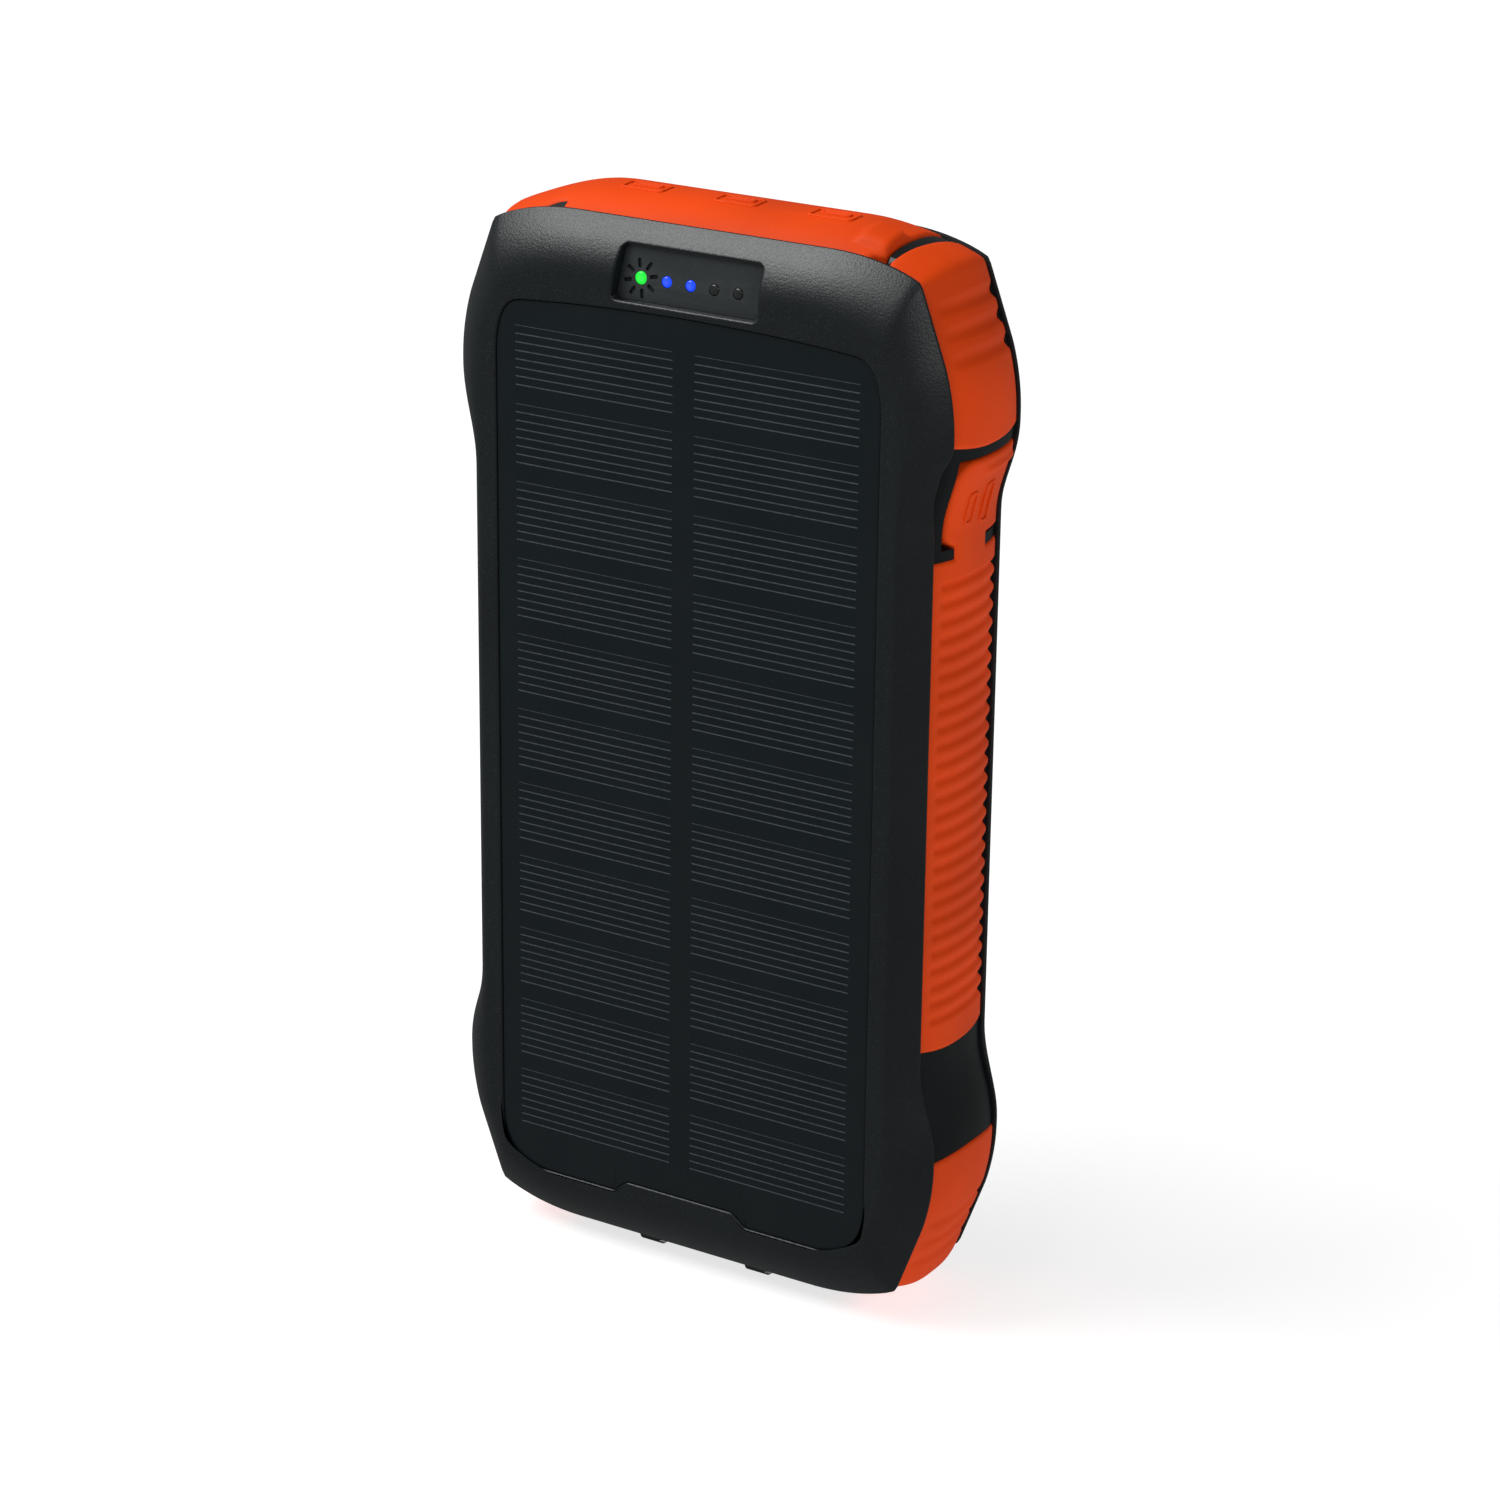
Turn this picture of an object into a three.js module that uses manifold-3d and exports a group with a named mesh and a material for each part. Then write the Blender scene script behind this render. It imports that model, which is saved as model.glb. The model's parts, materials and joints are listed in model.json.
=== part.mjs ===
// A rugged pocket power bank with a solar panel on its front, in millimetres, +Z up.
// X runs across the case (the charging inputs are at +X), Y through it (the panel faces -Y).
// The case is a front cover, a middle frame and a rear cover, with rubber bumpers, grips
// and port flaps set into the frame's outer band.
import * as THREE from "three";
import { mergeVertices } from "three/addons/utils/BufferGeometryUtils.js";
import Module from "manifold-3d";

// ---------------------------------------------------------------- driving dimensions
// Case outline, seen from the front
const CASE_HEIGHT = 168.2; // over the rims, without feet
const WAIST_WIDTH = 81.6; // over the rims, at mid height
const CASE_DEPTH = 30; // front land to rear land
const BULGE_OUT = 2.9; // each side stands out by this near the four corners
const TOP_FLAT = 44; // level stretch of the rim's top and bottom edges
const CORNER_IN = 3.3; // corner vertex, inwards from the waist line
const CORNER_DROP = 3.1; // corner vertex, down from the top edge
const CHAMFER_OUT = 1.2; // lower end of the corner chamfer, outwards from the waist line
const CHAMFER_DROP = 15.1;
const BULGE_DROP = 26; // widest place of the bulge, down from the top edge
const WAIST_DROP = 42; // where the bulge has run out into the waist

// Covers
const BEVEL_DEPTH = 4.8; // the bevel between land and rim, along Y
const BEVEL_CROWN_DEPTH = 1.6; // level of the bevel's rounded crown
const BEVEL_CROWN_SHARE = 0.55; // how far across the bevel the crown lies
const RIM_LIP = 0.6; // straight lip at the rim, along Y
const LAND_IN = 3.8; // land edge, inwards from the waist line
const LAND_DROP = 8.6; // land edge, down from the top edge
const LAND_FLAT = 40;
const LAND_CORNER_IN = 7.3;
const LAND_CORNER_DROP = 12.5;
const LAND_SIDE_DROP = 20;
const COVER_WALL = 2.6; // front and rear walls
const COVER_SKIN = 1; // inset of the hollow behind the land edge
const COVER_EDGE = 5.4; // width of the face that meets the frame

// Frame
const FRAME_WALL = 6; // rim line to the inner wall
const RIM_GROOVE = 0.9; // how far the frame's band starts below the rim
const SIDE_CROWN = 1.4; // the band's crown over the rim line at the sides and base
const TOP_CROWN = 3.4; // the same at the top
const BAND_SINK = 0.35; // the bare frame lies this far below the rubber
const RUBBER = 2.4; // thickness of the bumpers, grips and flaps
const GASKET_IN = 4.35; // gasket's outer edge, inwards from the rim line
const GASKET_WIDTH = 0.7;
const GASKET_DEPTH = 0.8;
const GASKET_PLAY = 0.15;

// Clearances
const SEAT = 0.05; // flat faces that rest on each other
const FIT = 0.3; // a piece in its pocket
const SLIDE = 0.2; // sliding and turning pieces

// Solar panel
const PANEL_MARGIN = 2.8; // land edge to the panel's side
const PANEL_DROP = 14.1; // panel's shoulder, down from the top edge
const PANEL_CROWN = 1.3; // rise of the panel's top edge at the middle
const PANEL_RAISE = 9.2; // panel's lower edge, up from the bottom edge
const PANEL_STEP = 2; // height of the step in the lower edge
const PANEL_STEP_WIDTH = 20;
const PANEL_THICK = 0.9;
const PANEL_SUNK = 0.3; // panel face below the land
const PANEL_POCKET = 1.5;

// Indicator window
const WINDOW_WIDTH = 26;
const WINDOW_HEIGHT = 8.5;
const WINDOW_DROP = 7.4; // window centre, down from the top edge
const WINDOW_LEVEL = 2.2; // window face below the land, at the window's centre
const WINDOW_TILT = THREE.MathUtils.degToRad(10.4);
const WINDOW_THICK = 0.8;
const WINDOW_LEDGE = 1;
const LIGHTS_BELOW = 0.8; // the lights, below the window's centre
const SUN_X = -8.8;
const LEVEL_X = -4.2; // first of the four charge lights
const LEVEL_PITCH = 4.2;
const LEVEL_COUNT = 4;
const SUN_DIAMETER = 1.8;
const LEVEL_DIAMETER = 1.5;

// Ports and board
const USB_PITCH = 16.6;
const USB_COUNT = 3;
const USB_CENTRE_X = 1;
const USB_SHELL = [13.1, 5.7, 14]; // X, Y, Z
const USB_WALL = 0.35;
const USB_TONGUE = [11.1, 1.84];
const USB_TONGUE_GAP = 0.7; // tongue to the shell's rear wall
const USB_SUNK = 3.4; // mouth, down from the top edge of the rims
const BOARD_THICK = 1.6;
const BOARD_SIDE_GAP = 1.4;
const BOARD_DROP = 7; // upper edge, down from the top edge
const BOARD_SHOULDER_DROP = 23;
const BOARD_FOOT_DROP = 48;
const BOARD_NECK_WIDTH = 44;
const INDICATOR_BOARD = [24, 1]; // width, thickness
const INDICATOR_BOARD_GAP = 2.15; // between it and the output ports
const LED_SIZE = [1.8, 1, 1.8];
const INPUT_DROP = 37.6; // centre of the two charging inputs, down from the top edge
const INPUT_SUNK = 2.4; // input mouths, inwards from the waist line
const USB_C_SHELL = [7.4, 3.2, 9]; // X, Y, Z
const MICRO_SHELL = [5.4, 2.7, 7.5];
const INPUT_WALL = 0.3;

// Rubber pieces, down from the top edge or up from the bottom edge
const TOP_FLAP_LEFT = -25.8;
const TOP_FLAP_RIGHT = 31;
const TOP_FLAP_CUT = 2.7; // the front of the flap's free end stops short by this
const TOP_FLAP_LIP = 1; // height of the pull lip
const LIP_HALF = 4.5; // half the width of the pull lip
const TOP_NECK_SHARE = 0.75; // width of the top flap's neck, as a share of the band's
const UPPER_BUMPER_X = [-28.2, 33.2]; // inner ends of the upper bumpers, left and right
const HINGE_SLIT = 0.3; // width of the slit along a flap's hinge line
const UPPER_BUMPER_DROP = 27.6; // lower end of the upper bumpers
const SIDE_FLAP_DROP = [30.9, 43.4];
const SIDE_FLAP_FRONT_GAP = 1.4; // front of the side flap to the front cover
const SIDE_NECK = [-4.7, 4.3]; // Y
const GRIP_DROP = 44.9;
const GRIP_RAISE = 44.1;
const LOWER_BUMPER_RAISE = 26.1;
const LOWER_BUMPER_X = 27;
const PLUG_ENTRY = 0.8; // how far the flaps' plugs reach into the ports
const PLUG_SIDE_GAP = 1.2; // plug to shell, along the flap's swing
const INPUT_PLUG_GAP = 1.4;
const FOOT_WIDTH = 10.7;
const FOOT_X = 10.1;
const FOOT_END_GAP = 1.6; // a foot's end to the cover
const FOOT_DROP = 2.7; // stands out below the rims
const FOOT_ROUND = 1.8;
const FOOT_ROOT = 1; // how deep the feet sit inside the rim line

// Power button
const BUTTON_SIZE = [5.6, 10]; // Y, Z
const BUTTON_FLANGE = 1.2;
const BUTTON_PROUD = 0.5;
const BUTTON_TRAVEL = 0.6;
const BUTTON_STEM_GAP = 0.1; // left at full travel before the switch bottoms out
const BUTTON_SEAT_IN = 2.8; // flat inside the frame behind the button, inwards from the waist line
const BUTTON_DROP = 37.6;
const BUTTON_STEM = 1.8; // reach of the button's stem past that flat
const SWITCH_SIZE = [3.4, 6, 3.5]; // X, Y, Z, with its plunger towards the button

// Screws, torch and cells
const SCREW_X = 29.5;
const SCREW_DROP = 17;
const SCREW_SHANK = 2.4;
const SCREW_HEAD = [5, 1.8]; // diameter, height
const SCREW_LENGTH = 14;
const SCREW_SUNK = 0.6;
const BOSS = 6;
const BOSS_SEAT = 1; // thickness of the pads that the bosses meet on the rear cover
const TORCH_X = 13;
const TORCH_DROP = 32;
const TORCH_LENS = [16, 1.4]; // diameter, thickness
const TORCH_CUP = { mouth: 14, throat: 6.4, wall: 0.7, depth: 6 };
const TORCH_SUNK = 0.3;
const TORCH_BOARD = [44, 1, 10]; // X, Y, Z
const CELL_COUNT = 3;
const CELL_SIDE_GAP = 3.3;
const CELL_TOP_GAP = 3;
const CELL_RAISE = 21;
const PAD_THICK = 0.8;
const LEAD_DIAMETER = 1.6;

const CIRCLE = 14; // sides of small round pieces

// ---------------------------------------------------------------- derived places
const TOP = CASE_HEIGHT / 2;
const WAIST = WAIST_WIDTH / 2;
const FACE = CASE_DEPTH / 2;
const RIM = FACE - BEVEL_DEPTH; // Y of the rim's edge
const BAND = RIM - RIM_LIP; // the covers end here and the frame begins
const WALL = FACE - COVER_WALL; // Y of the covers' inner faces
const FOOT_HALF = BAND - FOOT_END_GAP; // half a foot's length
const fromTop = (drop) => TOP - drop;
const fromBottom = (raise) => raise - TOP;

// ---------------------------------------------------------------- shape tools
const wasm = await Module();
wasm.setup();

/** A closed three.js geometry as a manifold solid. */
function solidOf(geometry) {
  geometry.deleteAttribute("normal");
  geometry.deleteAttribute("uv");
  const merged = mergeVertices(geometry, 1e-4);
  const vertProperties = new Float32Array(merged.attributes.position.array);
  const triVerts = new Uint32Array(merged.index.array);
  return new wasm.Manifold(new wasm.Mesh({ numProp: 3, vertProperties, triVerts }));
}

/** A manifold solid as a flat-shaded three.js geometry. */
function geometryOf(solid) {
  const mesh = solid.getMesh();
  const geometry = new THREE.BufferGeometry();
  geometry.setAttribute("position", new THREE.BufferAttribute(mesh.vertProperties, 3));
  geometry.setIndex(new THREE.BufferAttribute(mesh.triVerts, 1));
  const flat = geometry.toNonIndexed();
  flat.computeVertexNormals();
  return flat;
}

/** Joins a list of solids. */
const join = (solids) => solids.reduce((all, one) => all.add(one));

/** A flat outline given by corner points. */
const polygon = (points) => new THREE.Shape(points.map(([u, v]) => new THREE.Vector2(u, v)));

/** A rectangle with rounded corners, centred on (u, v). */
function roundRect(u, v, width, height, radius) {
  const r = Math.min(radius, width / 2 - 0.01, height / 2 - 0.01);
  const [u0, u1, v0, v1] = [u - width / 2, u + width / 2, v - height / 2, v + height / 2];
  const shape = new THREE.Shape();
  shape.moveTo(u0 + r, v0);
  shape.lineTo(u1 - r, v0).absarc(u1 - r, v0 + r, r, -Math.PI / 2, 0);
  shape.lineTo(u1, v1 - r).absarc(u1 - r, v1 - r, r, 0, Math.PI / 2);
  shape.lineTo(u0 + r, v1).absarc(u0 + r, v1 - r, r, Math.PI / 2, Math.PI);
  shape.lineTo(u0, v0 + r).absarc(u0 + r, v0 + r, r, Math.PI, Math.PI * 1.5);
  return shape;
}

/** Extrudes an outline by a length along local +Z. */
const extruded = (shape, depth, curveSegments = 4) =>
  new THREE.ExtrudeGeometry(shape, { depth, bevelEnabled: false, curveSegments });

/** Outline in (x, z), extruded from y0 to y1. */
const prismY = (shape, y0, y1) =>
  solidOf(extruded(shape, y1 - y0).rotateX(Math.PI / 2).translate(0, y1, 0));

/** Outline in (x, y), extruded from z0 to z1. */
const prismZ = (shape, z0, z1) => solidOf(extruded(shape, z1 - z0).translate(0, 0, z0));

/** Outline in (y, z), extruded from x0 to x1. */
function prismX(shape, x0, x1) {
  const turn = new THREE.Matrix4().makeBasis(
    new THREE.Vector3(0, 1, 0),
    new THREE.Vector3(0, 0, 1),
    new THREE.Vector3(1, 0, 0),
  );
  return solidOf(extruded(shape, x1 - x0).applyMatrix4(turn).translate(x0, 0, 0));
}

/** A box between two corners. */
function box([x0, y0, z0], [x1, y1, z1]) {
  const geometry = new THREE.BoxGeometry(x1 - x0, y1 - y0, z1 - z0);
  return solidOf(geometry.translate((x0 + x1) / 2, (y0 + y1) / 2, (z0 + z1) / 2));
}

/** A round bar along Y. */
function barY(x, z, y0, y1, diameter) {
  const geometry = new THREE.CylinderGeometry(diameter / 2, diameter / 2, y1 - y0, CIRCLE);
  return solidOf(geometry.translate(x, (y0 + y1) / 2, z));
}

/** A turned piece with its axis along Y, from [radius, y] points that close on the axis or a ring. */
function turnedY(x, z, profile) {
  const points = profile.map(([r, y]) => new THREE.Vector2(r, y));
  return solidOf(new THREE.LatheGeometry(points, CIRCLE).translate(x, 0, z));
}

/** Quarter outline, from the waist up to the middle of the top edge, as points. */
function quarter({ side, flat, top, corner, chamfer, bulge, waistZ }) {
  const path = new THREE.Path();
  path.moveTo(side, 0);
  path.lineTo(side, waistZ);
  path.bezierCurveTo(side, waistZ + 6, bulge[0] + 0.2, bulge[1] - 7, bulge[0], bulge[1]);
  path.quadraticCurveTo(bulge[0], (bulge[1] + chamfer[1]) / 2, chamfer[0], chamfer[1]);
  path.lineTo(corner[0], corner[1]);
  path.quadraticCurveTo((corner[0] + flat) / 2 + 1, top, flat, top);
  path.lineTo(0, top);
  const steps = [1, 5, 3, 2, 3, 1];
  const points = [new THREE.Vector2(side, 0)];
  path.curves.forEach((curve, i) => points.push(...curve.getPoints(steps[i]).slice(1)));
  return points;
}

/** The whole outline, counter-clockwise in (x, z), mirrored from its quarter. */
function closed(points) {
  const upper = [...points, ...points.slice(0, -1).reverse().map((p) => new THREE.Vector2(-p.x, p.y))];
  const lower = upper.slice(1, -1).reverse().map((p) => new THREE.Vector2(p.x, -p.y));
  return [...upper, ...lower];
}

/** Outward unit normals of a closed outline, with the stretch that keeps edges parallel. */
function normals(points) {
  const edge = (a, b) => new THREE.Vector2(b.y - a.y, a.x - b.x).normalize();
  return points.map((p, i) => {
    const before = edge(points.at(i - 1), p);
    const after = edge(p, points[(i + 1) % points.length]);
    return before.clone().add(after).divideScalar(1 + before.dot(after));
  });
}

/** Moves a closed outline outwards; the distance may depend on the normal. */
function offset(points, distance) {
  const out = normals(points);
  return points.map((p, i) => {
    const by = typeof distance === "function" ? distance(out[i]) : distance;
    return p.clone().addScaledVector(out[i], by);
  });
}

/** A closed solid through outlines with equal point counts, given as [y, points]. */
function loft(levels) {
  const count = levels[0][1].length;
  const position = levels.flatMap(([y, points]) => points.flatMap((p) => [p.x, y, p.y]));
  const [front, back] = [levels.length * count, levels.length * count + 1];
  position.push(0, levels[0][0], 0, 0, levels.at(-1)[0], 0);
  const last = (levels.length - 1) * count;
  const index = [];
  for (let level = 0; level + 1 < levels.length; level++) {
    for (let i = 0; i < count; i++) {
      const a = level * count + i;
      const b = level * count + ((i + 1) % count);
      index.push(a, a + count, b, b, a + count, b + count);
    }
  }
  for (let i = 0; i < count; i++) {
    const next = (i + 1) % count;
    index.push(front, i, next, back, last + next, last + i);
  }
  const geometry = new THREE.BufferGeometry();
  geometry.setAttribute("position", new THREE.Float32BufferAttribute(position, 3));
  geometry.setIndex(index);
  return solidOf(geometry);
}

/** A round lead along a smooth curve through points. */
function lead(points, diameter, steps) {
  const circle = new THREE.Shape().absarc(0, 0, diameter / 2, 0, Math.PI * 2);
  const extrudePath = new THREE.CatmullRomCurve3(points.map((p) => new THREE.Vector3(...p)));
  return solidOf(
    new THREE.ExtrudeGeometry(circle, { steps, extrudePath, bevelEnabled: false, curveSegments: 4 }),
  );
}

// ---------------------------------------------------------------- the case's own outlines
const RIM_LINE = closed(
  quarter({
    side: WAIST,
    flat: TOP_FLAT / 2,
    top: TOP,
    corner: [WAIST - CORNER_IN, fromTop(CORNER_DROP)],
    chamfer: [WAIST + CHAMFER_OUT, fromTop(CHAMFER_DROP)],
    bulge: [WAIST + BULGE_OUT, fromTop(BULGE_DROP)],
    waistZ: fromTop(WAIST_DROP),
  }),
);
const LAND_LINE = closed(
  quarter({
    side: WAIST - LAND_IN,
    flat: LAND_FLAT / 2,
    top: fromTop(LAND_DROP),
    corner: [WAIST - LAND_CORNER_IN, fromTop(LAND_CORNER_DROP)],
    chamfer: [WAIST - LAND_IN - 0.4, fromTop(LAND_SIDE_DROP)],
    bulge: [WAIST - LAND_IN, fromTop(BULGE_DROP + 2)],
    waistZ: fromTop(WAIST_DROP),
  }),
);
const CROWN_LINE = LAND_LINE.map((p, i) => p.clone().lerp(RIM_LINE[i], BEVEL_CROWN_SHARE));

/** The band's outline at a level y, a given depth below the rubber's outer face. */
function bandLine(y, depth) {
  const swell = 1 - Math.abs(y / BAND) ** 2.4;
  return offset(RIM_LINE, (n) => {
    const crown = SIDE_CROWN + (TOP_CROWN - SIDE_CROWN) * Math.max(0, n.y) ** 2;
    return (RIM_GROOVE + crown) * swell - RIM_GROOVE - depth;
  });
}

/** Everything inside the band's outer face, a given depth below it. */
function bandCore(depth, end = BAND - SEAT) {
  const inner = [0.87, 0.5, 0].map((share) => share * BAND);
  const levels = [-end, ...inner.map((y) => -y), ...inner.slice(0, -1).reverse(), end];
  return loft(levels.map((y) => [y, bandLine(y, depth)]));
}

// A skin of rubber thickness, and the deeper skin that makes its pockets.
const RUBBER_END = BAND - FIT;
const rubberSkin = bandCore(0, RUBBER_END).subtract(bandCore(RUBBER, BAND + 1));
const pocketSkin = bandCore(-2, BAND + 1).subtract(bandCore(RUBBER + FIT, BAND + 2));

// ---------------------------------------------------------------- rubber regions
const FAR = 200; // past the object on every side
const hingeX = (UPPER_BUMPER_X[0] + TOP_FLAP_LEFT) / 2;
const hingeZ = fromTop((SIDE_FLAP_DROP[1] + GRIP_DROP) / 2);

/** A block open to the outside, between two corners that may lie far away. */
const above = (x0, x1, y0, y1) => box([x0, y0, 0], [x1, y1, FAR]);
const beside = (y0, y1, z0, z1) => box([0, y0, z0], [FAR, y1, z1]);

/** Region of a corner bumper, grown by a clearance; side and up are 1 or -1. */
function cornerRegion(side, up, grow) {
  const upperX = side > 0 ? UPPER_BUMPER_X[1] : -UPPER_BUMPER_X[0];
  const x = (up > 0 ? upperX : LOWER_BUMPER_X) - grow;
  const z = TOP - (up > 0 ? UPPER_BUMPER_DROP : LOWER_BUMPER_RAISE) - grow;
  const corner = box([x, -FAR, z], [FAR, FAR, FAR]);
  return corner.scale([side, 1, up]);
}

/** Region of a side grip. */
function gripRegion(side, grow) {
  const region = beside(-FAR, FAR, fromBottom(GRIP_RAISE) - grow, fromTop(GRIP_DROP) + grow);
  return region.scale([side, 1, 1]);
}

/** The top flap's own outline; the front of its free end is cut back for a finger. */
function topFlapRegion() {
  const cut = TOP_FLAP_RIGHT - TOP_FLAP_CUT;
  const shape = polygon([
    [TOP_FLAP_LEFT, -FAR],
    [cut, -FAR],
    [cut, -RIM * 0.6],
    [TOP_FLAP_RIGHT, -RIM * 0.3],
    [TOP_FLAP_RIGHT, FAR],
    [TOP_FLAP_LEFT, FAR],
  ]);
  return prismZ(shape, 0, FAR);
}

/** The side flap's outline, grown by a clearance. */
function sideFlapRegion(grow) {
  const z1 = fromTop(SIDE_FLAP_DROP[0]);
  const z0 = fromTop(SIDE_FLAP_DROP[1]);
  const y0 = SIDE_FLAP_FRONT_GAP - BAND;
  const shape = polygon([
    [y0 + 1.2, z0 - grow],
    [FAR, z0 - grow],
    [FAR, z1 + grow],
    [y0 + 3.4, z1 + grow],
    [y0 + 1 - grow, z1 - 2.4],
    [y0 - grow, z1 - 6],
    [y0 - grow, z0 + 1.2],
  ]);
  return prismX(shape, 0, FAR);
}

/** Stretch of the top flap's neck between two X values. */
function topNeck(x0, x1, grow = 0) {
  const half = TOP_NECK_SHARE * BAND + grow;
  return above(x0, x1, -half, half);
}

/** Stretch of the side flap's neck between two Z values. */
const sideNeck = (z0, z1, grow = 0) => beside(SIDE_NECK[0] - grow, SIDE_NECK[1] + grow, z0, z1);

// ---------------------------------------------------------------- pieces of the case
const usbX = Array.from(
  { length: USB_COUNT },
  (_, i) => USB_CENTRE_X + (i - (USB_COUNT - 1) / 2) * USB_PITCH,
);
const usbMouth = fromTop(USB_SUNK);
const usbFoot = usbMouth - USB_SHELL[2];
const inputZ = fromTop(INPUT_DROP);
const inputMouth = WAIST - INPUT_SUNK;
const boardFace = BOARD_THICK / 2;
const usbCY = boardFace + SEAT + USB_C_SHELL[1] / 2;
const microY = -boardFace - SEAT - MICRO_SHELL[1] / 2;
const screwPlaces = [1, -1].flatMap((up) =>
  [-1, 1].map((side) => [side * SCREW_X, up * fromTop(SCREW_DROP)]),
);
const lightsZ = fromTop(WINDOW_DROP) - LIGHTS_BELOW;
const windowFaceY = -FACE + WINDOW_LEVEL - LIGHTS_BELOW * Math.tan(WINDOW_TILT);
const indicatorBoardY = -USB_SHELL[1] / 2 - INDICATOR_BOARD_GAP - INDICATOR_BOARD[1];
const ledFront = indicatorBoardY - SEAT - LED_SIZE[1];
const leadPlace = [-14, fromTop(40)]; // X, Z where the panel's lead passes the cover
const torchPlaces = [-TORCH_X, TORCH_X].map((x) => [x, fromTop(TORCH_DROP)]);
const torchLensBack = FACE - TORCH_SUNK - TORCH_LENS[1];
const buttonZ = fromTop(BUTTON_DROP);
const buttonSeat = WAIST - BUTTON_SEAT_IN;
const stemEnd = buttonSeat - BUTTON_STEM;
const boardHalf = WAIST - FRAME_WALL - BOARD_SIDE_GAP;
const panelBack = -FACE + PANEL_SUNK + PANEL_THICK;

/** Outline of the panel, or of its pocket when grown. */
function panelShape(grow) {
  const side = WAIST - LAND_IN - PANEL_MARGIN + grow;
  const top = fromTop(PANEL_DROP) + grow;
  const base = fromBottom(PANEL_RAISE) - grow;
  const step = PANEL_STEP_WIDTH / 2 - grow;
  const shape = new THREE.Shape();
  shape.moveTo(side, base + 8.5);
  shape.quadraticCurveTo(side - 0.4, base, side - 5, base);
  shape.lineTo(-side + 5, base);
  shape.quadraticCurveTo(-side + 0.4, base, -side, base + 8.5);
  shape.lineTo(-side, top - 8);
  shape.quadraticCurveTo(-side + 0.4, top - 0.6, -side + 4, top);
  shape.quadraticCurveTo(0, top + 2 * PANEL_CROWN, side - 4, top);
  shape.quadraticCurveTo(side - 0.4, top - 0.6, side, top - 8);
  const notch = polygon([
    [-step - 2.4, base - 1],
    [step + 2.4, base - 1],
    [step, base + PANEL_STEP],
    [-step, base + PANEL_STEP],
  ]);
  return { shape, notch };
}

/** A slab of the panel's outline between two levels. */
function panelSlab(grow, y0, y1) {
  const { shape, notch } = panelShape(grow);
  return prismY(shape, y0, y1).subtract(prismY(notch, y0 - 1, y1 + 1));
}

/** Turns a piece drawn square to the front into the window's own slope. */
function onWindow(solid) {
  const turn = new THREE.Matrix4().makeRotationX(-WINDOW_TILT);
  turn.setPosition(0, -FACE + WINDOW_LEVEL, fromTop(WINDOW_DROP));
  return solid.transform(turn.elements);
}

/** The indicator window's outline; its left end leans. */
function windowShape(grow) {
  const [w, h] = [WINDOW_WIDTH / 2 + grow, WINDOW_HEIGHT / 2 + grow];
  const r = 1.2;
  const shape = new THREE.Shape();
  shape.moveTo(-w + 1 + r, -h);
  shape.lineTo(w - r, -h).quadraticCurveTo(w, -h, w, -h + r);
  shape.lineTo(w, h - r).quadraticCurveTo(w, h, w - r, h);
  shape.lineTo(-w + 1 + r, h).quadraticCurveTo(-w + 1, h, -w + 0.8, h - r);
  shape.lineTo(-w, -h + r).quadraticCurveTo(-w, -h, -w + 1 + r, -h);
  return shape;
}

const levelX = Array.from({ length: LEVEL_COUNT }, (_, i) => LEVEL_X + i * LEVEL_PITCH);
const lights = [
  { name: "sun", x: SUN_X, diameter: SUN_DIAMETER },
  ...levelX.map((x, i) => ({ name: `level_${i + 1}`, x, diameter: LEVEL_DIAMETER })),
];

/** A cover's shell: the front one as drawn; the rear one is its mirror image. */
function coverShell() {
  const outer = loft([
    [-FACE, LAND_LINE],
    [-FACE + BEVEL_CROWN_DEPTH, CROWN_LINE],
    [-RIM, RIM_LINE],
    [-BAND, RIM_LINE],
  ]);
  const hollow = loft([
    [-WALL, offset(LAND_LINE, -COVER_SKIN)],
    [-BAND - BEVEL_DEPTH / 4, offset(RIM_LINE, -COVER_EDGE)],
    [-BAND + 1, offset(RIM_LINE, -COVER_EDGE)],
  ]);
  return outer.subtract(hollow);
}

function frontCover() {
  const bosses = screwPlaces.map(([x, z]) =>
    barY(x, z, -WALL - 0.5, WALL - BOSS_SEAT - SEAT, BOSS).subtract(
      barY(x, z, WALL - SCREW_LENGTH - 1, WALL, SCREW_SHANK + 2 * SLIDE),
    ),
  );
  const pocket = panelSlab(FIT, -FACE - 1, -FACE + PANEL_POCKET);
  const leadHole = barY(...leadPlace, -FACE, -WALL + 1, LEAD_DIAMETER + 1);
  const recess = onWindow(prismY(windowShape(FIT), -6, WINDOW_THICK + SEAT));
  const through = onWindow(prismY(windowShape(-WINDOW_LEDGE), 0, 6));
  return join([coverShell(), ...bosses])
    .subtract(pocket)
    .subtract(leadHole)
    .subtract(recess)
    .subtract(through);
}

function rearCover() {
  const heads = screwPlaces.map(([x, z]) =>
    barY(x, z, FACE - SCREW_SUNK - SCREW_HEAD[1] - SEAT, FACE + 1, SCREW_HEAD[0] + 2 * SLIDE).add(
      barY(x, z, 0, FACE, SCREW_SHANK + 2 * SLIDE),
    ),
  );
  const seats = screwPlaces.map(([x, z]) => barY(x, z, WALL - BOSS_SEAT, WALL + 0.5, BOSS + 2));
  const torches = torchPlaces.map(([x, z]) =>
    barY(x, z, torchLensBack - SEAT, FACE + 1, TORCH_LENS[0] + 2 * FIT).add(
      barY(x, z, 0, FACE, TORCH_CUP.mouth + 2 * FIT),
    ),
  );
  return join([coverShell().scale([1, -1, 1]), ...seats]).subtract(join([...heads, ...torches]));
}

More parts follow.
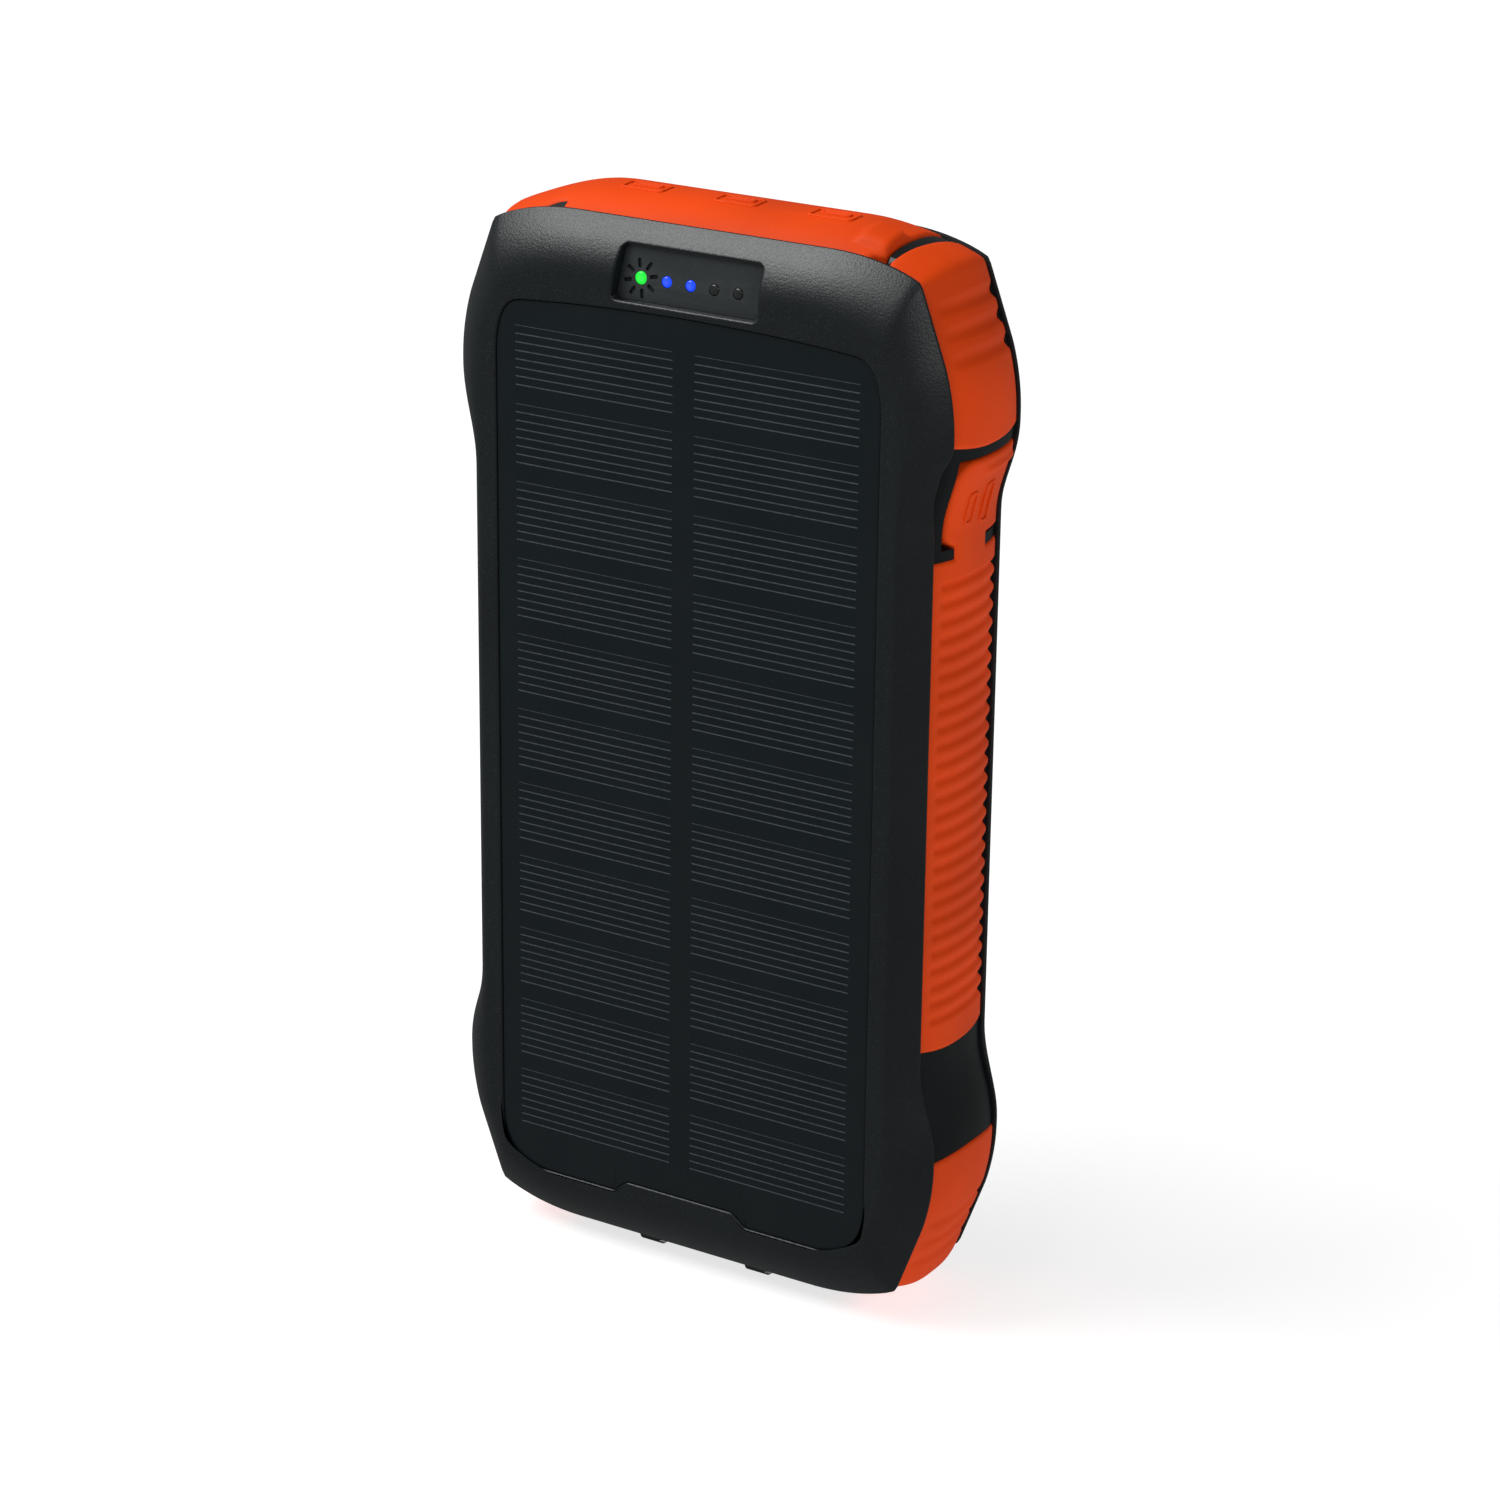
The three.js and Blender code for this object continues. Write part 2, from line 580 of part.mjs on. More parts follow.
function middleFrame() {
  const inside = loft([
    [-BAND - 1, offset(RIM_LINE, -FRAME_WALL)],
    [BAND + 1, offset(RIM_LINE, -FRAME_WALL)],
  ]);
  const pockets = join([
    ...[-1, 1].flatMap((side) => [-1, 1].map((up) => cornerRegion(side, up, FIT))),
    gripRegion(-1, FIT),
    gripRegion(1, FIT),
    above(TOP_FLAP_LEFT - FIT, TOP_FLAP_RIGHT + FIT, -FAR, FAR),
    topNeck(UPPER_BUMPER_X[0], TOP_FLAP_LEFT, FIT),
    sideFlapRegion(FIT),
    sideNeck(fromTop(GRIP_DROP), fromTop(SIDE_FLAP_DROP[1]), FIT),
  ]).intersect(pocketSkin);
  const [usbW, usbD] = USB_SHELL.map((v) => v / 2 + FIT);
  const usbHoles = usbX.map((x) => above(x - usbW, x + usbW, -usbD, usbD));
  const inputHoles = [
    [usbCY, USB_C_SHELL],
    [microY, MICRO_SHELL],
  ].map(([y, size]) => {
    const [d, h] = [size[1] / 2 + FIT, size[2] / 2 + FIT];
    return beside(y - d, y + d, inputZ - h, inputZ + h);
  });
  const feet = [-FOOT_X, FOOT_X].map((x) => {
    const [w, l] = [FOOT_WIDTH / 2 + FIT, FOOT_HALF + FIT];
    return box([x - w, -l, -TOP - FAR], [x + w, l, -TOP + FOOT_ROOT + SEAT]);
  });
  const [buttonD, buttonH] = BUTTON_SIZE;
  const buttonHole = prismX(
    roundRect(0, buttonZ, buttonD + 2 * SLIDE, buttonH + 2 * SLIDE, buttonD),
    -FAR,
    0,
  );
  const roomY = buttonD / 2 + BUTTON_FLANGE + 1;
  const roomZ = buttonH / 2 + BUTTON_FLANGE + 1;
  const buttonRoom = box([-buttonSeat, -roomY, buttonZ - roomZ], [0, roomY, buttonZ + roomZ]);
  const grooves = [-1, 1].map((end) =>
    gasketRing(GASKET_PLAY, GASKET_DEPTH + GASKET_PLAY).scale([1, end, 1]),
  );
  return bandCore(BAND_SINK)
    .subtract(inside)
    .subtract(pockets)
    .subtract(join([...usbHoles, ...inputHoles, ...feet, buttonHole, buttonRoom, ...grooves]));
}

/** A gasket ring in the frame's rear face, widened by a clearance. */
function gasketRing(grow, depth) {
  const y0 = BAND - SEAT - depth;
  const y1 = BAND - SEAT + (grow > 0 ? 1 : 0);
  const inside = (by, ...levels) => loft(levels.map((y) => [y, offset(RIM_LINE, -by)]));
  const hole = inside(GASKET_IN + GASKET_WIDTH + grow, y0 - 1, y1 + 1);
  return inside(GASKET_IN - grow, y0, y1).subtract(hole);
}

// ---------------------------------------------------------------- rubber pieces
const rubberOf = (region) => rubberSkin.intersect(region);

function upperBumperLeft() {
  const neck = topNeck(UPPER_BUMPER_X[0] - 1, hingeX - HINGE_SLIT / 2);
  return rubberOf(cornerRegion(-1, 1, 0).add(neck));
}

function sideGripRight() {
  const neck = sideNeck(fromTop(GRIP_DROP) - 1, hingeZ - HINGE_SLIT / 2);
  return rubberOf(gripRegion(1, 0).add(neck));
}

/** The flap over the output ports, with a plug for each port and a pull lip. */
function topFlap() {
  const neck = topNeck(hingeX + HINGE_SLIT / 2, TOP_FLAP_LEFT + 1);
  const [w, d] = [USB_SHELL[0] / 2 - PLUG_SIDE_GAP, USB_SHELL[1] / 2 - USB_WALL - FIT];
  const root = bandCore(RUBBER - 0.5, BAND + 1);
  const plugs = usbX.map((x) =>
    box([x - w, -d, usbMouth - PLUG_ENTRY], [x + w, d, FAR]).intersect(root),
  );
  const lipTop = flapTopAt(TOP_FLAP_RIGHT - 4) + TOP_FLAP_LIP;
  const lip = prismY(
    polygon([
      [TOP_FLAP_RIGHT - 7, flapTopAt(TOP_FLAP_RIGHT - 7) - 1],
      [TOP_FLAP_RIGHT - 0.4, flapTopAt(TOP_FLAP_RIGHT) - 1.5],
      [TOP_FLAP_RIGHT, flapTopAt(TOP_FLAP_RIGHT)],
      [TOP_FLAP_RIGHT - 1.2, lipTop - 0.3],
      [TOP_FLAP_RIGHT - 4, lipTop],
    ]),
    -LIP_HALF,
    LIP_HALF,
  );
  return join([rubberOf(topFlapRegion().add(neck)), ...plugs, lip]);
}

/** The flap over the charging inputs, with a plug for each. */
function sideFlap() {
  const neck = sideNeck(hingeZ + HINGE_SLIT / 2, fromTop(SIDE_FLAP_DROP[1]) + 1);
  const root = bandCore(RUBBER - 0.5, BAND + 1);
  const plugs = [
    [usbCY, USB_C_SHELL],
    [microY, MICRO_SHELL],
  ].map(([y, size]) => {
    const [d, h] = [size[1] / 2 - INPUT_WALL - SLIDE, size[2] / 2 - INPUT_PLUG_GAP];
    const plug = box([inputMouth - PLUG_ENTRY / 2, y - d, inputZ - h], [FAR, y + d, inputZ + h]);
    return plug.intersect(root);
  });
  return join([rubberOf(sideFlapRegion(0).add(neck)), ...plugs]);
}

/** Height of the rubber's outer face over the case's mid plane, at a place along the top. */
function flapTopAt(x) {
  const line = bandLine(0, 0);
  const i = line.findIndex((p, k) => p.y > 0 && p.x >= x && line[(k + 1) % line.length].x < x);
  const [a, b] = [line[i], line[i + 1]];
  return THREE.MathUtils.mapLinear(x, a.x, b.x, a.y, b.y);
}

function foot(x) {
  const z1 = -TOP + FOOT_ROOT;
  const z0 = -TOP - FOOT_DROP;
  const shape = roundRect(x, (z0 + z1) / 2, FOOT_WIDTH, z1 - z0, FOOT_ROUND);
  return prismY(shape, -FOOT_HALF, FOOT_HALF);
}

/** The cap through the frame's wall, the flange that keeps it in and the stem behind it. */
function powerButton() {
  const [d, h] = BUTTON_SIZE;
  const oval = (grow) => roundRect(0, buttonZ, d + 2 * grow, h + 2 * grow, d);
  const cap = prismX(oval(0), -FAR, -buttonSeat + SEAT).intersect(bandCore(-BUTTON_PROUD));
  const flange = prismX(oval(BUTTON_FLANGE), -buttonSeat + SEAT, -buttonSeat + 0.8);
  const stem = prismX(oval(-1.6), -buttonSeat, -stemEnd);
  return join([cap, flange, stem]);
}

// ---------------------------------------------------------------- panel, window and lights
function indicatorWindow() {
  const plate = onWindow(prismY(windowShape(0), 0, WINDOW_THICK));
  const holes = lights.map(({ x, diameter }) => barY(x, lightsZ, -FACE, 0, diameter + 2 * SLIDE));
  return plate.subtract(join(holes));
}

const lightPipe = ({ x, diameter }) => barY(x, lightsZ, windowFaceY, ledFront - FIT, diameter);

function led({ x }) {
  const [w, , h] = LED_SIZE.map((v) => v / 2);
  return box([x - w, ledFront, lightsZ - h], [x + w, indicatorBoardY - SEAT, lightsZ + h]);
}

const solarPanel = () => panelSlab(0, -FACE + PANEL_SUNK, panelBack);

const panelAdhesive = () =>
  panelSlab(-1, panelBack + SEAT, -FACE + PANEL_POCKET - SEAT).subtract(
    barY(...leadPlace, -FACE, 0, LEAD_DIAMETER + 1),
  );

function panelLead() {
  const [x, z] = leadPlace;
  const inside = 2 - WALL;
  const route = [
    [x, panelBack + SEAT, z],
    [x, inside, z],
    [x - 1, inside * 0.58, z - 1.5],
    [x - 1, inside * 0.29, z - 3],
    [x - 1, -boardFace - SEAT, z - 3],
  ];
  return lead(route, LEAD_DIAMETER, 12);
}

// ---------------------------------------------------------------- boards and ports
/** The main board: its neck carries the output ports in slots, its foot stands over the cells. */
function mainBoard() {
  const [z0, z1, z2] = [BOARD_FOOT_DROP, BOARD_SHOULDER_DROP, BOARD_DROP].map(fromTop);
  const half = BOARD_NECK_WIDTH / 2;
  const body = box([-boardHalf, -boardFace, z0], [boardHalf, boardFace, z1]);
  const neck = box([USB_CENTRE_X - half, -boardFace, z1 - 1], [USB_CENTRE_X + half, boardFace, z2]);
  const slots = usbX.map((x) => {
    const w = USB_SHELL[0] / 2 + SLIDE;
    return box([x - w, -FAR, usbMouth - USB_SHELL[2] - SLIDE], [x + w, FAR, FAR]);
  });
  return body.add(neck).subtract(join(slots));
}

/** An output port: a shell open at the top, with its contact tongue inside. */
function usbPort(x) {
  const [w, d, h] = [USB_SHELL[0] / 2, USB_SHELL[1] / 2, USB_SHELL[2]];
  const floor = usbMouth - h + 2;
  const shell = box([x - w, -d, usbMouth - h], [x + w, d, usbMouth]).subtract(
    box([x - w + USB_WALL, -d + USB_WALL, floor], [x + w - USB_WALL, d - USB_WALL, FAR]),
  );
  const [tw, td] = USB_TONGUE.map((v) => v / 2);
  const tongueY = d - USB_WALL - USB_TONGUE_GAP - td;
  return shell.add(box([x - tw, tongueY - td, floor - 1], [x + tw, tongueY + td, usbMouth - 1.2]));
}

/** A charging input: a shell open at +X, with its contact tongue inside. */
function inputPort(y, [length, depth, height], tongueDepth) {
  const [d, h] = [depth / 2, height / 2];
  const floor = inputMouth - length + 1.5;
  const block = (x0, x1, dy, dz) => box([x0, y - dy, inputZ - dz], [x1, y + dy, inputZ + dz]);
  const hollow = block(floor, FAR, d - INPUT_WALL, h - INPUT_WALL);
  const tongue = block(floor - 1, inputMouth - 1, tongueDepth / 2, h - INPUT_WALL - 0.8);
  return block(inputMouth - length, inputMouth, d, h).subtract(hollow).add(tongue);
}

function powerSwitch() {
  const [length, depth, height] = SWITCH_SIZE;
  const x0 = -stemEnd + BUTTON_TRAVEL + BUTTON_STEM_GAP;
  const face = boardFace + SEAT;
  const block = (xa, xb, ya, yb, h) => box([xa, ya, buttonZ - h], [xb, yb, buttonZ + h]);
  const body = block(x0 + 0.8, x0 + length, face, face + depth / 2, height / 2);
  return body.add(block(x0, x0 + 1, face + 0.4, face + 2, 0.8));
}

function indicatorBoard() {
  const half = INDICATOR_BOARD[0] / 2;
  const y1 = indicatorBoardY + INDICATOR_BOARD[1];
  return box([-half, indicatorBoardY, usbFoot - 5], [half, y1, lightsZ + LED_SIZE[2]]);
}

const boardHeader = () =>
  box(
    [-5, indicatorBoardY + INDICATOR_BOARD[1] + SEAT, usbFoot - 3.5],
    [5, -boardFace - SEAT, usbFoot - 1],
  );

const onBoard = (x, z, [w, d, h]) =>
  box([x - w / 2, boardFace + SEAT, z - h / 2], [x + w / 2, boardFace + SEAT + d, z + h / 2]);

// ---------------------------------------------------------------- screws, torch and cells
function caseScrew([x, z]) {
  const top = FACE - SCREW_SUNK;
  const [head, height] = SCREW_HEAD;
  const under = top - height;
  const profile = [
    [0, under - SCREW_LENGTH + 2],
    [SCREW_SHANK / 2, under - SCREW_LENGTH + 3],
    [SCREW_SHANK / 2, under],
    [head / 2, under],
    [head / 2, top - 0.5],
    [head / 2 - 0.5, top],
    [0, top],
  ];
  const cross = [
    [1.4, 0.35],
    [0.35, 1.4],
  ].map(([w, h]) => box([x - w, top - 1, z - h], [x + w, FACE, z + h]));
  return turnedY(x, z, profile).subtract(join(cross));
}

const torchLens = ([x, z]) => barY(x, z, torchLensBack, FACE - TORCH_SUNK, TORCH_LENS[0]);

function torchReflector([x, z]) {
  const { mouth, throat, wall, depth } = TORCH_CUP;
  const front = torchLensBack - SEAT;
  const profile = [
    [throat / 2 - wall, front - depth],
    [throat / 2, front - depth],
    [mouth / 2, front - 1],
    [mouth / 2, front],
    [mouth / 2 - wall, front],
    [throat / 2 - wall, front - depth],
  ];
  return turnedY(x, z, profile);
}

/** The torch's board, with its two emitters standing into the reflectors' throats. */
function torchBoard() {
  const [w, d, h] = TORCH_BOARD;
  const y1 = torchLensBack - TORCH_CUP.depth - FIT;
  const z = fromTop(TORCH_DROP);
  const emitters = torchPlaces.map(([x]) =>
    box([x - 1.2, y1 - 0.2, z - 1.2], [x + 1.2, y1 + 0.7, z + 1.2]),
  );
  return join([box([-w / 2, y1 - d, z - h / 2], [w / 2, y1, z + h / 2]), ...emitters]);
}

const cellTop = fromTop(BOARD_FOOT_DROP) - CELL_TOP_GAP;
const cellHalf = WAIST - FRAME_WALL - CELL_SIDE_GAP;
const padInner = WALL - SEAT - PAD_THICK;
const cellPitch = (2 * (padInner - SEAT) + FIT) / CELL_COUNT;

function cell(i) {
  const y0 = -padInner + SEAT + i * cellPitch;
  const y1 = y0 + cellPitch - FIT;
  const shape = roundRect(0, (y0 + y1) / 2, 2 * cellHalf, y1 - y0, 2);
  return prismZ(shape, fromBottom(CELL_RAISE), cellTop);
}

function cellPad(end) {
  const inset = 3;
  const low = [-cellHalf + inset, padInner, fromBottom(CELL_RAISE) + inset];
  return box(low, [cellHalf - inset, padInner + PAD_THICK, cellTop - inset]).scale([1, end, 1]);
}

function cellLead() {
  const foot = fromTop(BOARD_FOOT_DROP);
  const route = [
    [10, -boardFace - 2, cellTop + FIT],
    [10, -boardFace - 2.2, foot],
    [10, -boardFace - 1.8, foot + 3],
    [10, -boardFace - 2 * FIT, foot + 4],
  ];
  return lead(route, LEAD_DIAMETER, 9);
}

// ---------------------------------------------------------------- finishes
const finish = (color, roughness, metalness = 0) => ({ color, roughness, metalness });
const SHELL = finish(0x1c2124, 0.55);
const ORANGE = finish(0xd8440c, 0.6);
const PANEL = finish(0x0b1417, 0.25);
const SMOKED = finish(0x14181a, 0.3);
const CLEAR = finish(0xdfe6e8, 0.1);
const GREEN = finish(0x2fe04a, 0.2);
const BLUE = finish(0x2a4cff, 0.2);
const UNLIT = finish(0x202428, 0.3);
const STEEL = finish(0xb9bcc0, 0.3, 1);
const BOARD = finish(0x0e4a2c, 0.5);
const BLACK_RUBBER = finish(0x141618, 0.8);
const CELL = finish(0x9aa3ab, 0.35, 0.4);
const FOAM = finish(0x2b2b2b, 0.95);
const COPPER_LEAD = finish(0x8c1c16, 0.6);
const CHIP = finish(0x18181a, 0.5);
const MIRROR = finish(0xe4e6e8, 0.12, 1);
const LED_BODY = finish(0xe8e4c8, 0.4);
const TAPE = finish(0x3a3a3a, 0.9);

// ---------------------------------------------------------------- the assembly
const group = new THREE.Group();
group.name = "power_bank";
const standing = new THREE.Group(); // the case's middle, above the feet it stands on
standing.position.z = TOP + FOOT_DROP;
group.add(standing);

function add(name, solid, { color, roughness, metalness }) {
  const material = new THREE.MeshStandardMaterial({ color, roughness, metalness });
  const mesh = new THREE.Mesh(geometryOf(solid), material);
  mesh.name = name;
  standing.add(mesh);
}

const SIDES = [
  ["left", -1],
  ["right", 1],
];

add("front_cover", frontCover(), SHELL);
add("middle_frame", middleFrame(), SHELL);
add("rear_cover", rearCover(), SHELL);
add("front_gasket", gasketRing(0, GASKET_DEPTH).scale([1, -1, 1]), BLACK_RUBBER);
add("rear_gasket", gasketRing(0, GASKET_DEPTH), BLACK_RUBBER);
screwPlaces.forEach((place, i) => add(`case_screw_${i + 1}`, caseScrew(place), STEEL));

add("solar_panel", solarPanel(), PANEL);
add("panel_adhesive", panelAdhesive(), TAPE);
add("panel_lead", panelLead(), COPPER_LEAD);
add("indicator_window", indicatorWindow(), SMOKED);
lights.forEach((light, i) => {
  const lit = i === 0 ? GREEN : i < 3 ? BLUE : UNLIT;
  add(`${light.name}_light_pipe`, lightPipe(light), lit);
  add(`${light.name}_led`, led(light), LED_BODY);
});

add("indicator_board", indicatorBoard(), BOARD);
add("board_header", boardHeader(), CHIP);
add("main_board", mainBoard(), BOARD);
usbX.forEach((x, i) => add(`usb_a_port_${i + 1}`, usbPort(x), STEEL));
add("usb_c_port", inputPort(usbCY, USB_C_SHELL, 0.7), STEEL);
add("micro_usb_port", inputPort(microY, MICRO_SHELL, 0.6), STEEL);
add("power_switch", powerSwitch(), CHIP);
add("power_inductor", onBoard(-20, fromTop(BOARD_FOOT_DROP - 5.5), [10, 4, 10]), CHIP);
add("control_chip", onBoard(0, fromTop(BOARD_FOOT_DROP - 6), [7, 1, 7]), CHIP);
add("smoothing_capacitor", onBoard(18, fromTop(BOARD_FOOT_DROP - 5), [7.3, 3, 4.3]), CELL);

torchPlaces.forEach((place, i) => {
  add(`torch_lens_${SIDES[i][0]}`, torchLens(place), CLEAR);
  add(`torch_reflector_${SIDES[i][0]}`, torchReflector(place), MIRROR);
});
add("torch_board", torchBoard(), BOARD);

for (let i = 0; i < CELL_COUNT; i++) add(`battery_cell_${i + 1}`, cell(i), CELL);
add("battery_pad_front", cellPad(-1), FOAM);
add("battery_pad_rear", cellPad(1), FOAM);
add("battery_lead", cellLead(), COPPER_LEAD);

add("top_flap", topFlap(), ORANGE);
add("side_flap", sideFlap(), ORANGE);
add("upper_bumper_left", upperBumperLeft(), ORANGE);
add("upper_bumper_right", rubberOf(cornerRegion(1, 1, 0)), ORANGE);
add("lower_bumper_left", rubberOf(cornerRegion(-1, -1, 0)), ORANGE);
add("lower_bumper_right", rubberOf(cornerRegion(1, -1, 0)), ORANGE);
add("side_grip_left", rubberOf(gripRegion(-1, 0)), ORANGE);
add("side_grip_right", sideGripRight(), ORANGE);
add("power_button", powerButton(), BLACK_RUBBER);
SIDES.forEach(([side, sign]) => add(`foot_${side}`, foot(sign * FOOT_X), BLACK_RUBBER));

export default group;
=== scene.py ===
"""Looks of a rugged solar power bank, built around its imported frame. +Z up, the panel faces -Y.

Sizes in the shape code are millimetres; a mesh is scaled to metres when it is made.
Places along the case's edge are distances clockwise from the middle of its top, seen from
the front, and depths are measured inwards from the rubber's outer face.
"""

import json
import math

import bmesh
import bpy
import numpy as np
from mathutils import Matrix, Vector


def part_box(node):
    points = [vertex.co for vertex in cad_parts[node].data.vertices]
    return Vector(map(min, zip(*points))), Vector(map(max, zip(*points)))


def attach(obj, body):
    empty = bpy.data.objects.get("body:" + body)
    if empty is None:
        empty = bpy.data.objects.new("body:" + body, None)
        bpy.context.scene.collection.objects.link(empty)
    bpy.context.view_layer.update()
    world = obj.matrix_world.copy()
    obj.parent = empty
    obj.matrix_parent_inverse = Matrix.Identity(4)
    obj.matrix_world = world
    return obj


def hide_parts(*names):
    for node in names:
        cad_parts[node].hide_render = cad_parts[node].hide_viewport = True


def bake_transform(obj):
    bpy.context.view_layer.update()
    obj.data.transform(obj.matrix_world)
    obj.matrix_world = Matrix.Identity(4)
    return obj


bl_info = {
    "name": "Rugged solar power bank",
    "version": (1, 0, 0),
    "blender": (4, 5, 0),
    "location": "3D View > Sidebar > Power bank",
    "description": "Builds the visible surface of a rugged solar power bank around its frame",
    "category": "Add Mesh",
}

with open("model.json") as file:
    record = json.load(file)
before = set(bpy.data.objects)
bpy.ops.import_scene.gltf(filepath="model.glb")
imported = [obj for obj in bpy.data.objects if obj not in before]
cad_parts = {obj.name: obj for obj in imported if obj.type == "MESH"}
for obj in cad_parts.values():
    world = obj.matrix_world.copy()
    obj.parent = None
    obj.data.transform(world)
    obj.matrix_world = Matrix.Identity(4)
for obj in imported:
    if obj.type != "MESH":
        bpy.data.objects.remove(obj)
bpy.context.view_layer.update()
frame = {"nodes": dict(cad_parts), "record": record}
MM = 0.001
AXIS = 0.01  # radius at the ends of a turned piece
SCOOP = 1.5  # depth of the finger scoop in front of the side flap
SCOOP_DROPS = ((27, 31.5), (34, 42))  # where it deepens and where it runs out


# ------------------------------------------------------------------ sizes from the frame
def span(node):
    """Lowest and highest corner of a node, in millimetres."""
    return [np.array(corner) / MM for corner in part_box(node)]


def middle(node):
    """Middle of a node's box, in millimetres."""
    return sum(span(node)) / 2


def line_through(node):
    """Place of the line along Y through the middle of a node."""
    return middle(node) * [1, 0, 1]


def radius_of(node):
    """Half a node's width."""
    low, high = span(node)
    return (high[0] - low[0]) / 2


COVER_LOW, COVER_HIGH = span("front_cover")
MID = middle("front_cover")[2]  # height of the case's middle
TOP = COVER_HIGH[2] - MID  # middle to the top of the rims
FACE = -COVER_LOW[1]  # middle to the land
BAND = span("rear_cover")[0][1]  # the frame's band ends here, and the covers begin
PANEL_LOW, PANEL_HIGH = span("solar_panel")
WAIST = PANEL_HIGH[0] + 6.6  # half the width over the rims, at mid height

# ------------------------------------------------------------------ sizes of the case's skin
SIDE_CROWN = 1.2
TOP_CROWN = 2.6
CROWN_ENDS = (20, 36)  # the top's crown falls off between these places along X
CROWN_POWER = 2.4  # how squarely a crown falls off towards the rims
GROOVE = (0.9, 0.3)  # the band starts this far below the front and the rear rim
BARE = 0.35  # depth of the bare frame
RUBBER = 2.4
RUBBER_END = BAND - 0.25
SOFT_EDGE = 0.7  # rounding of the rubber's edges
BUMPER_DROP = 27.3
BUMPER_RAISE = 26.1
BUMPER_LEFT = -28.2  # inner ends of the upper bumpers
BUMPER_RIGHT = 32
FLAP_LEFT = -25.8
FLAP_RIGHT = 30.2
NECK_HALF = 7.3
LOWER_BUMPER_X = 27
GRIP_DROP = 45.3
GRIP_RAISE = 44.1
SIDE_FLAP_DROP = (29.9, 43.4)
SIDE_FLAP_FRONT = -6.9
SIDE_NECK = (-4.7, 4.3)
RIB_PITCH = 2.8
CORNER_GROOVES = (4.9, 8.8, 12.7)  # distances from the corner
LAND_DROP = 8.6  # the covers' flat land begins this far below the rims
LEDGE = 3.65  # width of the land above the panel
BEVEL_POWER = 1.84  # how the bevel rounds over from the rim into the land
SIDES = ("left", "right")
SCREWS = [f"case_screw_{n}" for n in (1, 2, 3, 4)]
LIGHTS = {  # each light and its slot
    "sun": "light_green",
    "level_1": "light_blue",
    "level_2": "light_blue",
    "level_3": "light_unlit",
    "level_4": "light_unlit",
}
WINDOW_TILT = math.radians(10.4)
WINDOW_SIZE = (26, 8.5)
WINDOW_DROP = 7.4
WINDOW_LEVEL = 2.2
WINDOW_CORNER = 1.2
RECESS_DROP = (3.15, 11.65)  # rows of points along the window's upper and lower edge
PANEL_STEP = (10, 12.4)  # ends of the slope that the panel's raised lower edge runs out in


def from_top(drop):
    """Height above the middle of what lies this far below the top of the rims."""
    return TOP - drop


# ------------------------------------------------------------------ outlines
def smooth(x, low, high):
    """Rises from 0 at low to 1 at high without a corner."""
    t = np.clip((np.asarray(x, float) - low) / (high - low), 0, 1)
    return t * t * (3 - 2 * t)


def fillet(distance, radius):
    """Drop of a rounded edge at a distance from it."""
    short = radius - np.clip(distance, 0, radius)
    return radius - np.sqrt(np.maximum(0, radius**2 - short**2))


def curve(points, count):
    """Points along a Bezier curve of any degree, without its first point."""
    t = np.linspace(0, 1, count + 1)[1:, None]
    n = len(points) - 1
    weights = [math.comb(n, k) * (1 - t) ** (n - k) * t**k for k in range(n + 1)]
    return sum(weight * np.array(point) for weight, point in zip(weights, points))


def right_half(start, stretches):
    """Points from a start along Bezier curves, each given by its further points and its count."""
    points = [np.array([start], float)]
    for *stretch, count in stretches:
        points.append(curve([points[-1][-1], *stretch], count))
    return np.vstack(points)


def case_loop(side, flat, top_drop, reaches, drops):
    """Right half of an outline of the case, from the middle of its top to that of its base."""
    top = from_top(top_drop)
    corner, chamfer, bulge = zip(reaches, map(from_top, drops))
    waist = from_top(drops[-1])
    quarter = right_half((side, 0), [
        [(side, waist), 40],
        [(side, waist + 6), (bulge[0] + 0.2, bulge[1] - 7), bulge, 40],
        [(bulge[0], (bulge[1] + chamfer[1]) / 2), chamfer, 40],
        [corner, 40],
        [((corner[0] + flat) / 2 + 1, top), (flat, top), 40],
        [(0, top), 40],
    ])[::-1]
    return np.vstack([quarter, (quarter[:-1] * [1, -1])[::-1]])


